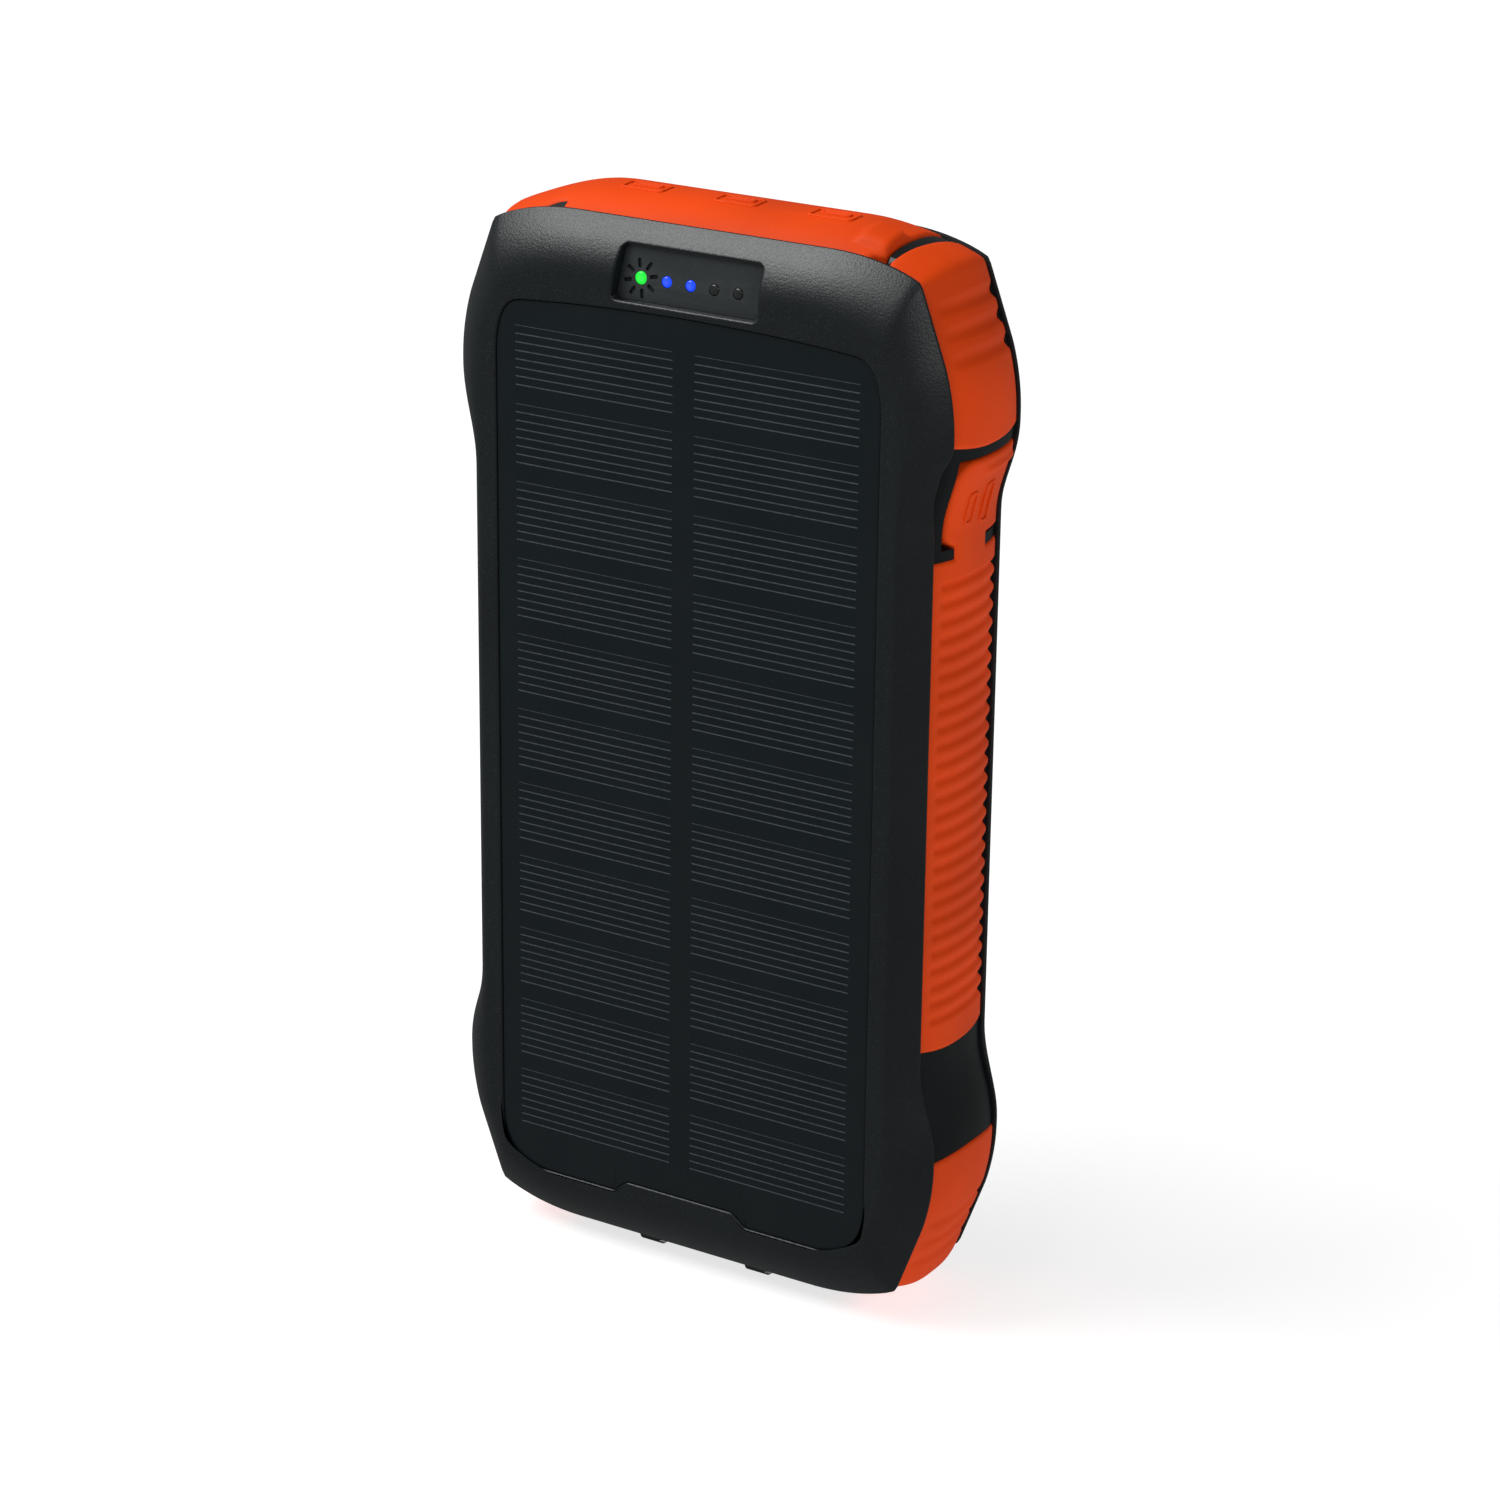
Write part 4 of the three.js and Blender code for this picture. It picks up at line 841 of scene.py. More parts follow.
class BANK_OT_front_cover(bpy.types.Operator):
    """Front cover: rounded bevels, the panel's seat and the window's recess"""

    bl_idname = "bank.front_cover"
    bl_label = "Front cover"

    def execute(self, context):
        rings = inner_rings()
        rings += [recessed(ring, y) for ring, y in outer_levels(PANEL_RING, SCOOP)]
        radius = 0.3
        for far in radius * np.array([1, 0.6, 0.3, 0.1, 0]):
            rings.append(ring_at(outset(PANEL_RING, far), -FACE + fillet(far, radius)))
        seat = PANEL_HIGH[1] + 0.2
        rings += [ring_at(PANEL_RING, seat), ring_at(PANEL_RING * 0.9, seat)]
        cover = stack("front_cover_skin", rings, "shell_black", 32)
        settle(cover, "case", "shell_black", "front_cover")
        return {"FINISHED"}


class BANK_OT_rear_cover(bpy.types.Operator):
    """Rear cover: the same bevels, with seats for the screws and the torch lenses"""

    bl_idname = "bank.rear_cover"
    bl_label = "Rear cover"

    def execute(self, context):
        rings = inner_rings(-1)
        levels = outer_levels(LAND_RING * 0.9)
        rings += [ring_at(ring, -y) for ring, y in levels]
        last = levels[-1][0]
        rings += [ring_at(last * 0.97, FACE), ring_at(last * 0.9, FACE)]
        cover = stack("rear_cover_skin", rings, "shell_black", 32)
        for node in SCREWS:
            self.hole(cover, node, 0.2, 4.6)
        for side in SIDES:
            self.hole(cover, f"torch_lens_{side}", 0.25, 5)
        settle(cover, "case", "shell_black", "rear_cover")
        return {"FINISHED"}

    def hole(self, cover, node, play, depth):
        """A seat with a rounded edge."""
        radius, round_off = radius_of(node) + play, 0.35
        brim = FACE - round_off
        profile = [(AXIS, FACE - depth), (radius, FACE - depth), (radius, brim)]
        for a in np.linspace(0.3, math.pi / 2, 5):
            profile.append((radius + round_off * (1 - math.cos(a)), brim + round_off * math.sin(a)))
        profile += [(radius + round_off + 0.01, FACE + 1), (AXIS, FACE + 1)]
        cut(cover, turned("seat_cutter", line_through(node), profile, "shell_black", 64))


class BANK_OT_solar_panel(bpy.types.Operator):
    """Solar panel: a thin laminated sheet with a rounded edge"""

    bl_idname = "bank.solar_panel"
    bl_label = "Solar panel"

    def execute(self, context):
        face, back, gap = PANEL_LOW[1], PANEL_HIGH[1], context.scene.bank_sizes.panel_gap / MM
        levels = [(gap, back), (gap, face + 0.14)]
        levels += [(gap + fillet(d, 0.12), face + 0.12 - d) for d in (0.04, 0.08)]
        levels += [(gap + 0.12, face), (0.5, face)]
        rings = [ring_at(outset(PANEL_RING, -inset), y) for inset, y in levels]
        rings = [ring_at(PANEL_RING * 0.9, back), *rings, ring_at(PANEL_RING * 0.9, face)]
        panel = stack("solar_panel_sheet", rings, "panel_laminate", 30)
        settle(panel, "case", "panel_laminate", "solar_panel")
        return {"FINISHED"}


# ------------------------------------------------------------------ frame
BUTTON_SIZE = (5, 2.8)  # half length and half width of the power button
BUTTON_PLAY = 0.3
PORT_PLAY = 0.12
USB_PORTS = [f"usb_a_port_{n}" for n in (1, 2, 3)]
INPUT_PORTS = ["micro_usb_port", "usb_c_port"]


def button_centre():
    """Place of the power button, as (distance, y)."""
    return -float(RIM_LINE.beside(middle("power_button")[2] - MID)), 0.0


def walled(low, high, breaks, step):
    """Values from low to high, with a close pair at every break so that a wall can stand there."""
    stops = sorted({low, high, *breaks})
    values = []
    for a, b in zip(stops, stops[1:]):
        count = max(1, round((b - a) / step))
        values += list(np.linspace(a + 0.04, b - 0.04, count + 1)) if b - a > 0.2 else [(a + b) / 2]
    return np.unique(np.round([low, *values, high], 6))


class BANK_OT_frame(bpy.types.Operator):
    """Middle frame: the band between the covers, with pockets and port openings"""

    bl_idname = "bank.frame"
    bl_label = "Middle frame"

    def pockets(self):
        """(start, end, lowest y, highest y, depth) of each pocket under the rubber."""
        far, deep, shallow = 8.3, RUBBER + 0.3, 1.5
        upper, lower = from_top(BUMPER_DROP) + 1.2, BUMPER_RAISE - TOP - 1.2
        over, beside, under = RIM_LINE.over, RIM_LINE.beside, RIM_LINE.under
        right = [
            (over(BUMPER_RIGHT + 2.2), beside(upper), -far, far, shallow),
            (beside(lower), under(LOWER_BUMPER_X + 1), -far, far, shallow),
            (beside(from_top(GRIP_DROP) - 1), beside(GRIP_RAISE - TOP + 1.4), -far, far, shallow),
        ]
        left = [(-b, -a, c, d, e) for a, b, c, d, e in right]
        left[0] = (-beside(upper), over(BUMPER_LEFT - 3.4), -far, far, shallow)
        moving = [
            (over(BUMPER_LEFT - 1), over(FLAP_LEFT + 0.5), -NECK_HALF + 0.5, NECK_HALF - 0.5, deep),
            (over(FLAP_LEFT + 0.5), over(FLAP_RIGHT + 0.3), -far - 0.7, far + 0.7, deep),
            (beside(from_top(SIDE_FLAP_DROP[0]) + 0.3), beside(from_top(SIDE_FLAP_DROP[1]) - 0.3),
             SIDE_FLAP_FRONT - 0.3, far + 0.7, deep),
            (beside(from_top(SIDE_FLAP_DROP[1]) - 0.3), beside(from_top(GRIP_DROP) - 1),
             SIDE_NECK[0] + 0.4, SIDE_NECK[1] - 0.4, deep),
        ]
        return right + left + moving

    def openings(self):
        """(start, end, lowest y, highest y) of each port's opening."""
        found = []
        for node in USB_PORTS + INPUT_PORTS:
            low, high = span(node)
            low, high = low - PORT_PLAY, high + PORT_PLAY
            if node in USB_PORTS:
                ends = RIM_LINE.over(low[0]), RIM_LINE.over(high[0])
            else:
                ends = RIM_LINE.beside(high[2] - MID), RIM_LINE.beside(low[2] - MID)
            found.append((*ends, low[1], high[1]))
        return found

    def execute(self, context):
        half = RIM_LINE.length / 2
        pockets, openings = self.pockets(), self.openings()
        edge = BAND - 0.05
        s_breaks = [float(v) for r in pockets + openings for v in r[:2]]
        button, well = button_centre()[0], np.array([2.2, 3.3, 4.3, 4.9, 5.3, 5.7, 6.1])
        s_breaks += [*(button - well), *(button + well)]
        y_breaks = [float(v) for r in pockets + openings for v in r[2:4] if abs(v) < edge - 0.1]
        brim = BUTTON_SIZE[1] - 0.4, BUTTON_SIZE[1] + BUTTON_PLAY
        y_breaks += [*brim, *(-v for v in brim)]
        s = walled(-half, half, s_breaks, 1.4)[:-1]
        y = walled(-edge, edge, y_breaks, 1.0)
        s, y = np.meshgrid(s, y, indexing="ij")
        depth = np.full(s.shape, BARE)
        depth += 0.25 * (1 - smooth(BAND - np.abs(y), 0, 0.5))
        x, z = np.moveaxis(RIM_LINE.at(s), -1, 0)
        grasp = smooth(x, 27.6, 28.4) * (1 - smooth(x, 30.4, 31.2)) * (z > 0)
        depth += 1.3 * grasp * smooth(y, -9.2, -8) * (1 - smooth(y, -7.4, -6.6))
        length, width = BUTTON_SIZE
        away = np.hypot(np.maximum(0, np.abs(s - button) - length + width), y) - width
        depth += 3 * (1 - smooth(away, BUTTON_PLAY, BUTTON_PLAY + 0.4))
        depth += SCOOP * scoop(x, z) * (1 - smooth(y, -9.5, -7.7))
        for a, b, low, high, deep in pockets:
            inside = (s > a) & (s < b) & (y > low) & (y < high)
            depth = np.where(inside, deep, depth)
        mid_s = (s + np.roll(s, -1, 0))[:, :-1] / 2
        mid_y = (y[:, 1:] + y[:, :-1]) / 2
        mid_s[-1] = half - 0.01
        solid = np.ones(mid_s.shape, bool)
        for a, b, low, high in openings:
            solid &= ~((mid_s > a) & (mid_s < b) & (mid_y > low) & (mid_y < high))
        up = np.maximum(0, RIM_LINE.out(s)[..., 1])
        back = 4 + 2.8 * up**2
        grids = on_band(s, y, depth), on_band(s, y, back)
        body = mesh_piece("frame_band", *sheet_parts(*grids, solid), "band_black", 30)
        settle(body, "case", "shell_black", "middle_frame")
        return {"FINISHED"}


# ------------------------------------------------------------------ rubber
def rubber_piece(name, s, y, sink, solid=None):
    """A rubber piece with rounded edges; sink is how far its face lies below the plain band."""
    if solid is None:
        solid = np.ones((s.shape[0] - 1, s.shape[1] - 1), bool)
    round_off = fillet(edge_distance(s, y, solid), SOFT_EDGE)
    outer = on_band(s, y, sink + round_off)
    inner = on_band(s, y, np.full(s.shape, RUBBER))
    return mesh_piece(name, *sheet_parts(outer, inner, solid), "rubber_orange", 40)


def corner_ribs(s, y, side, up):
    """1 in the middle of each of three grooves across a corner's chamfer, 0 between them."""
    along = (side * s - RIM_LINE.beside(up * from_top(RIM_DROPS[0]))) * up
    found = np.zeros(np.shape(along))
    for groove in CORNER_GROOVES:
        found = np.maximum(found, 1 - smooth(np.abs(along - groove), 0.14, 1.4))
    return found * smooth(y, -8.2, -6.2)


def scalloped(y, ribs, inset=0.65):
    """Columns of y whose rear edge is drawn in at each groove."""
    return y - ribs * inset * smooth(y, 2, RUBBER_END)


def bumper_end(y):
    """Inner end of the upper right bumper at each y, rounded at the front."""
    bend = np.clip((-RUBBER_END + 1.8 - y) / 1.8, 0, 1)
    return BUMPER_RIGHT + y / RUBBER_END * 0.8 + 1.6 * (1 - np.sqrt(1 - bend**2))


def bumper_foot(y):
    """How much lower a bumper's side end reaches at each y."""
    return 0.9 * (1 - (y / RUBBER_END) ** 2)


class BANK_OT_bumpers(bpy.types.Operator):
    """Corner bumpers that don't carry a flap: upper right and both lower ones"""

    bl_idname = "bank.bumpers"
    bl_label = "Corner bumpers"

    def execute(self, context):
        y = graded(-RUBBER_END, RUBBER_END, 0.8)
        foot = from_top(BUMPER_DROP) - bumper_foot(y)
        upper = rows_through([RIM_LINE.over(bumper_end(y)), RIM_LINE.beside(foot)], y, 0.5)
        self.make("upper_bumper_right", upper, y, 1, 1)
        shoulder = BUMPER_RAISE - TOP + bumper_foot(y)
        inner = RIM_LINE.under(np.full(y.shape, float(LOWER_BUMPER_X)))
        lower = rows_through([RIM_LINE.beside(shoulder), inner], y, 0.5)
        self.make("lower_bumper_right", lower, y, 1, -1)
        self.make("lower_bumper_left", -lower, y, -1, -1)
        return {"FINISHED"}

    def make(self, node, s, y, side, up):
        depth = bpy.context.scene.bank_sizes.rib_depth / MM
        columns = np.broadcast_to(y, s.shape)
        ribs = corner_ribs(s, columns, side, up)
        piece = rubber_piece(node + "_rubber", s, scalloped(columns, ribs), depth * ribs)
        settle(piece, "case", "rubber_orange", node)


def grip_ribs(z, y):
    """Cross ribs of a side grip: 0 on a rib, 1 in a groove."""
    low, high = GRIP_RAISE - TOP + 3.6, from_top(GRIP_DROP) - 3.2
    wave = 0.5 - 0.5 * np.cos((z - low) * 2 * np.pi / RIB_PITCH)
    inside = smooth(z, low, low + 0.4) * (1 - smooth(z, high - 0.4, high))
    front = smooth(y, -RUBBER_END + 1.4, -RUBBER_END + 2.8)
    return wave**1.6 * inside * front


class BANK_OT_side_rubber(bpy.types.Operator):
    """Side grips, the right one carrying the flap over the charging inputs"""

    bl_idname = "bank.side_rubber"
    bl_label = "Side grips and side flap"

    def execute(self, context):
        depth = context.scene.bank_sizes.rib_depth / MM
        y = graded(-RUBBER_END, RUBBER_END, 0.7)
        ends = GRIP_RAISE - TOP - bumper_foot(y) * 0.8, from_top(GRIP_DROP) + 0 * y
        s = rows_through([-RIM_LINE.beside(end) for end in ends], y, 0.28)
        ys = np.broadcast_to(y, s.shape)
        ribs = grip_ribs(RIM_LINE.at(s)[..., 1], ys)
        piece = rubber_piece("side_grip_left_rubber", s, scalloped(ys, ribs), depth * ribs)
        settle(piece, "case", "rubber_orange", "side_grip_left")
        self.right(depth)
        return {"FINISHED"}

    def right(self, depth):
        y = through([-RUBBER_END, SIDE_FLAP_FRONT, *SIDE_NECK, RUBBER_END], 0.7, 0.6)
        low = GRIP_RAISE - TOP - bumper_foot(y) * 0.8
        top, foot = from_top(SIDE_FLAP_DROP[0]), from_top(SIDE_FLAP_DROP[1])
        from_front = np.maximum(0, y - SIDE_FLAP_FRONT)
        lines = [
            RIM_LINE.beside(top - fillet(from_front, 3.2)),
            RIM_LINE.beside(foot + fillet(from_front, 2.6)),
            RIM_LINE.beside(from_top(GRIP_DROP) + 0 * y),
            RIM_LINE.beside(low),
        ]
        s = rows_through(lines, y, 0.28, 0.6)
        ys = np.broadcast_to(y, s.shape)
        z = RIM_LINE.at(s)[..., 1]
        row_s, mid_y = halfway(s, 0), halfway(ys, 1)
        flap = row_s < np.broadcast_to(lines[1], s.shape)[:-1, :-1]
        grip = row_s > np.broadcast_to(lines[2], s.shape)[:-1, :-1]
        neck = (mid_y > SIDE_NECK[0]) & (mid_y < SIDE_NECK[1])
        solid = (flap & (mid_y > SIDE_FLAP_FRONT)) | grip | (~flap & ~grip & neck)
        ribs = grip_ribs(z, ys)
        ridge = np.exp(-(((z - top + 2.1) / 0.55) ** 2)) * smooth(ys, -1.5, 0.5)
        sink = depth * ribs - 0.45 * ridge
        piece = rubber_piece("side_grip_and_flap_rubber", s, scalloped(ys, ribs), sink, solid)
        x = span("side_flap")[1][0] * MM
        low, high = (MID + from_top(GRIP_DROP) - 0.1) * MM, (MID + foot + 0.3) * MM
        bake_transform(piece)
        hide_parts("side_grip_right", "side_flap")


class BANK_OT_top_rubber(bpy.types.Operator):
    """Upper left bumper and the flap over the output ports, joined by a neck"""

    bl_idname = "bank.top_rubber"
    bl_label = "Upper left bumper and top flap"

    def execute(self, context):
        sizes = context.scene.bank_sizes
        y = through([-RUBBER_END, -NECK_HALF, NECK_HALF, RUBBER_END], 0.7, 0.6)
        foot = from_top(BUMPER_DROP) - bumper_foot(y)
        notch = np.clip((np.abs(y) - NECK_HALF) / (RUBBER_END - NECK_HALF), 0, 1) ** 0.45
        free_end = FLAP_RIGHT - 2.2 * (1 - smooth(y, -8.4, -7))
        lines = [
            -RIM_LINE.beside(foot),
            RIM_LINE.over(FLAP_LEFT - 0.5 - 3.9 * notch),
            RIM_LINE.over(FLAP_LEFT - 0.1 + 0 * y),
            RIM_LINE.over(free_end),
        ]
        s = rows_through(lines, y, 0.5, 0.6)
        ys = np.broadcast_to(y, s.shape)
        row_s, mid_y = halfway(s, 0), halfway(ys, 1)
        left = row_s < lines[1][:-1]
        flap = row_s > lines[2][:-1]
        solid = left | flap | (np.abs(mid_y) < NECK_HALF)
        x = RIM_LINE.at(s)[..., 0]
        ribs = corner_ribs(s, ys, -1, 1)
        end = free_end - x
        lip = smooth(x, 23.9, 25.7) * smooth(end, 0, 0.9) * (1 - smooth(np.abs(ys + 4.1), 2.2, 3.4))
        sink = sizes.rib_depth / MM * ribs - sizes.lip_height / MM * lip
        piece = rubber_piece("upper_left_rubber", s, scalloped(ys, ribs), sink, solid)
        top = span("top_flap")[1][2] * MM
        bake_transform(piece)
        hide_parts("upper_bumper_left", "top_flap")
        return {"FINISHED"}


def round_path(half_s, half_y, radius, centre, count=8):
    """A rounded rectangle around a (distance, y) centre."""
    spots = []
    for k, (u, v) in enumerate(((1, 1), (-1, 1), (-1, -1), (1, -1))):
        for a in np.linspace(k, k + 1, count) * math.pi / 2:
            spots.append((u * (half_s - radius) + radius * math.cos(a),
                          v * (half_y - radius) + radius * math.sin(a)))
    return np.array(spots) + centre


class BANK_OT_port_marks(bpy.types.Operator):
    """Raised outlines of each port on the flaps, and the plugs under the flaps"""

    bl_idname = "bank.port_marks"
    bl_label = "Port marks and plugs"

    def execute(self, context):
        for n, node in enumerate(USB_PORTS, 1):
            low, high = span(node)
            centre = (RIM_LINE.over((low[0] + high[0]) / 2), -1.0)
            tongue = round_path(2.3, 0.45, 0.2, (centre[0], -0.5))
            paths = [round_path(3.6, 1.7, 0.5, centre), tongue]
            mark = ribbons(f"output_mark_{n}", paths, 0.5, -0.28, 0.6, "rubber_orange")
            corners = low + (1.25, 0.75, 0), high - (1.25, 0.75, 0)
            corners[0][2], corners[1][2] = high[2] - 0.8, MID + TOP + 2
            plug = soft_block(f"output_plug_{n}", *corners, 0.5, "rubber_orange")
            for piece in (mark, plug):
                settle(piece, "top_flap", "rubber_orange")
        for node, half_y in zip(INPUT_PORTS, (0.95, 1.1)):
            (low, high), (_, y, z) = span(node), middle(node)
            at = RIM_LINE.beside(z - MID)
            path = round_path((high[2] - low[2]) / 2 - 1.2, half_y, 0.6, (at, y))
            name = node.removesuffix("_port")
            mark = ribbons(name + "_mark", [path], 0.45, -0.25, 0.6, "rubber_orange")
            corners = low + (0, 0.55, 1.45), high - (0, 0.55, 1.45)
            corners[0][0] = high[0] - 0.4
            corners[1][0] = RIM_LINE.at(at)[0] - 0.6
            plug = soft_block(name + "_plug", *corners, 0.3, "rubber_orange")
            for piece in (mark, plug):
                settle(piece, "side_flap", "rubber_orange")
        return {"FINISHED"}


# ------------------------------------------------------------------ window and lights
class BANK_OT_window(bpy.types.Operator):
    """Indicator window with its sun's rays, and the domed lights behind it"""

    bl_idname = "bank.window"
    bl_label = "Indicator window"

    def execute(self, context):
        self.plate()
        self.lamps(context.scene.bank_look)
        return {"FINISHED"}

    def tilted(self, points):
        """From the window's own plane (across, up, out) to the case."""
        c, n = math.cos(WINDOW_TILT), math.sin(WINDOW_TILT)
        points = np.asarray(points, float)
        u, v, w = points[..., 0], points[..., 1], points[..., 2]
        base = (0, -FACE + WINDOW_LEVEL, MID + from_top(WINDOW_DROP))
        return np.stack([u, v * n - w * c, v * c + w * n], -1) + base

    def plate(self):
        path = round_path(WINDOW_SIZE[0] / 2, WINDOW_SIZE[1] / 2, WINDOW_CORNER, (0, 0), 10)
        rise = np.clip(0.5 + path[:, 1] / WINDOW_SIZE[1], 0, 1)
        shifted = np.where(path[:, 0] < 0, path[:, 0] * (1 - rise / 13), path[:, 0])
        edge = np.stack([shifted, path[:, 1]], -1)
        levels = [(0.5, -0.32), (0.99, -0.32), (0.993, -0.05), (0.985, 0), (0.9, 0), (0.5, 0)]
        rings = [self.tilted(np.c_[edge * share, np.full(len(edge), w)]) for share, w in levels]
        plate = stack("indicator_window_plate", rings, "window_smoked", 30)
        for node in LIGHTS:
            place, radius = line_through(f"{node}_light_pipe"), self.radius(node) + 0.08
            hole = [(AXIS, -FACE - 1), (radius, -FACE - 1), (radius, -FACE + 6), (AXIS, -FACE + 6)]
            cut(plate, turned("hole", place, hole, "window_smoked", 32))
        self.rays(plate)
        settle(plate, "case", "window_smoked", "indicator_window")

    def radius(self, node):
        return radius_of(f"{node}_light_pipe") + 0.1

    def rays(self, plate):
        """Cuts eight short round-ended slots around the sun's light."""
        sun = middle("sun_light_pipe")
        across, up = sun[0], (sun[2] - MID - from_top(WINDOW_DROP)) / math.cos(WINDOW_TILT)
        ray = round_path(0.75, 0.33, 0.3, (2.3, 0), 5)
        for turn in np.arange(8) * math.pi / 4 + 0.2:
            spin = np.array([[math.cos(turn), math.sin(turn)], [-math.sin(turn), math.cos(turn)]])
            spots = ray @ spin + (across, up)
            rings = [self.tilted(np.c_[spots, np.full(len(spots), w)]) for w in (-1, 1)]
            cut(plate, stack("ray", rings, "window_smoked"))

    def lamps(self, look):
        unlit = (0.02, 0.022, 0.024)
        lit = {"light_green": tuple(look.green), "light_blue": tuple(look.blue)}
        for node, slot in LIGHTS.items():
            place, radius = line_through(f"{node}_light_pipe"), self.radius(node)
            colour = lit.get(slot, unlit)
            core = [min(1, c + 0.03) for c in colour] if slot in lit else unlit
            strength = look.lamp_strength if slot in lit else 0.0
            finish = lamp(f"lamp_{node}", core, colour, strength, place[[0, 2]])
            face = window_level(TOP + MID - place[2])
            dome = [(AXIS, face + 3), (radius, face + 3), (radius, face + 0.05)]
            for a in np.linspace(0.25, 1.5, 6):
                dome.append((radius * math.cos(a), face + 0.05 - 0.3 * math.sin(a)))
            pin = turned(f"{node}_lamp", place, dome, finish, 40)
            settle(pin, "case", slot, f"{node}_light_pipe")


# ------------------------------------------------------------------ feet, button, torch, screws
class BANK_OT_fittings(bpy.types.Operator):
    """Feet, power button, torch lenses and cover screws"""

    bl_idname = "bank.fittings"
    bl_label = "Feet, button, torch and screws"

    def execute(self, context):
        for side in SIDES:
            self.foot(f"foot_{side}")
            self.lens(f"torch_lens_{side}")
            self.reflector(f"torch_reflector_{side}")
        self.button()
        for node in SCREWS:
            self.screw(node)
        return {"FINISHED"}

    def foot(self, node):
        """A pad whose sides round over into a flat sole."""
        low, high = span(node)
        centre, half = middle(node), (high - low) / 2
        tall = min(2.2, high[2] - low[2] - 0.3)
        levels = [(3, high[2]), (0, high[2])]
        for a in np.linspace(math.pi / 2, 0, 9):
            levels.append((1.7 * (1 - math.sin(a)), low[2] + tall * (1 - math.cos(a))))
        rings = []
        for inset, level in [*levels, (3, low[2])]:
            half_x, half_y = half[:2] - inset
            path = round_path(half_x, half_y, half_y * 0.9, centre[:2])
            rings.append(np.c_[path, np.full(len(path), level)])
        settle(stack(f"{node}_rubber", rings, "rubber_black", 40), "case", "rubber_black", node)

    def button(self):
        centre = button_centre()
        levels = [(0.3, 2.5), (1, 2.5), (1, 0.25), (0.985, 0.0), (0.95, -0.2), (0.88, -0.36)]
        rings = []
        for share, depth in [*levels, (0.78, -0.46), (0.6, -0.5), (0.3, -0.5)]:
            length, width = np.array(BUTTON_SIZE) * share
            path = round_path(length, width, width * 0.996, centre, 10)
            rings.append(on_band(*path.T, depth))
        cap = stack("power_button_cap", rings, "rubber_black", 35)
        settle(cap, "power_button", "rubber_black", "power_button")
        path = round_path(1.3, 1.3, 1.29, centre, 10)
        mark = ribbons("power_button_ring", [path], 0.35, -0.62, -0.3, "rubber_black")
        settle(mark, "power_button", "rubber_black")
        path = round_path(5.9, 3.7, 3.69, centre, 12)
        collar = ribbons("power_button_collar", [path], 1.1, 0.05, 1.2, "band_black")
        settle(collar, "case", "shell_black")

    def lens(self, node):
        back, face, radius = span(node)[0][1], span(node)[1][1], radius_of(node)
        profile = [(AXIS, back), (radius, back), (radius, face - 0.3), (radius - 0.1, face - 0.1)]
        profile += [(radius - 0.35, face), (radius - 1.2, face), (radius - 1.4, face - 0.25)]
        profile += [(radius - 2, face - 0.25), (radius * 0.5, face - 0.2), (AXIS, face - 0.15)]
        piece = turned(f"{node}_cover", line_through(node), profile, "lens_clear", 72)
        settle(piece, "case", "lens_clear", node)

    def reflector(self, node):
        """An open cup, turned from a closed profile."""
        low, high = span(node)
        throat, wide, thick, deep = 3.2, radius_of(node) - 3.2, 0.5, high[1] - low[1]
        share = np.linspace(0, 1, 12)
        cup = np.c_[throat + wide * share**0.5, low[1] + deep * share]
        back = cup + np.c_[np.full(12, -thick), 0.2 * (1 - share)]
        profile = np.vstack([cup, back[::-1], cup[:1]])
        angle = np.linspace(0, 2 * np.pi, 65)[:, None]
        radius, y = profile.T
        spots = np.stack([radius * np.cos(angle), y + 0 * angle, radius * np.sin(angle)], -1)
        spots = spots + middle(node.replace("reflector", "lens")) * [1, 0, 1]
        index = np.arange(spots.shape[0] * spots.shape[1]).reshape(spots.shape[:2])
        corners = index[:-1, :-1], index[1:, :-1], index[1:, 1:], index[:-1, 1:]
        faces = np.stack(corners, -1).reshape(-1, 4).tolist()
        piece = mesh_piece(f"{node}_cup", spots.reshape(-1, 3), faces, "reflector_silver")
        settle(piece, "case", "reflector_silver", node)

    def screw(self, node):
        """A round head with a cross recess, on its shank."""
        (tip, top), radius, place = np.array(span(node))[:, 1], radius_of(node), line_through(node)
        profile = [(AXIS, tip), (1.2, tip + 1), (1.2, top - 1.8), (radius, top - 1.8)]
        profile += [(radius, top - 0.7), (radius * 0.94, top - 0.35), (radius * 0.8, top - 0.1)]
        profile += [(radius * 0.55, top), (AXIS, top)]
        head = turned(f"{node}_head", place, profile, "screw_steel")
        for half in (np.array([1.5, 1, 0.36]), np.array([0.36, 1, 1.5])):
            centre = place + (0, top, 0)
            cut(head, soft_block("slot", centre - half, centre + half, 0.12, "screw_steel", 2))
        settle(head, "case", "steel", node)


class BANK_OT_inner_parts(bpy.types.Operator):
    """Finishes of the frame's own ports, boards, cells and small inner pieces"""

    bl_idname = "bank.inner_parts"
    bl_label = "Ports, boards and cells"

    def execute(self, context):
        made = finishes()
        for entry in frame["record"]["subparts"]:
            node = frame["nodes"][entry["node"]]
            slot = entry["material_slot"]
            if node.hide_render:
                continue
            node.data.materials.clear()
            node.data.materials.append(made[slot])
        return {"FINISHED"}


# ------------------------------------------------------------------ stage
FLOOR_REACH = 6.0
LAMPS = (  # name, place and size, in metres
    ("key", (-0.55, -0.35, 0.95), 0.7),
    ("side", (0.85, -0.25, 0.60), 0.35),
    ("front", (-0.10, -0.75, 1.05), 0.5),
)


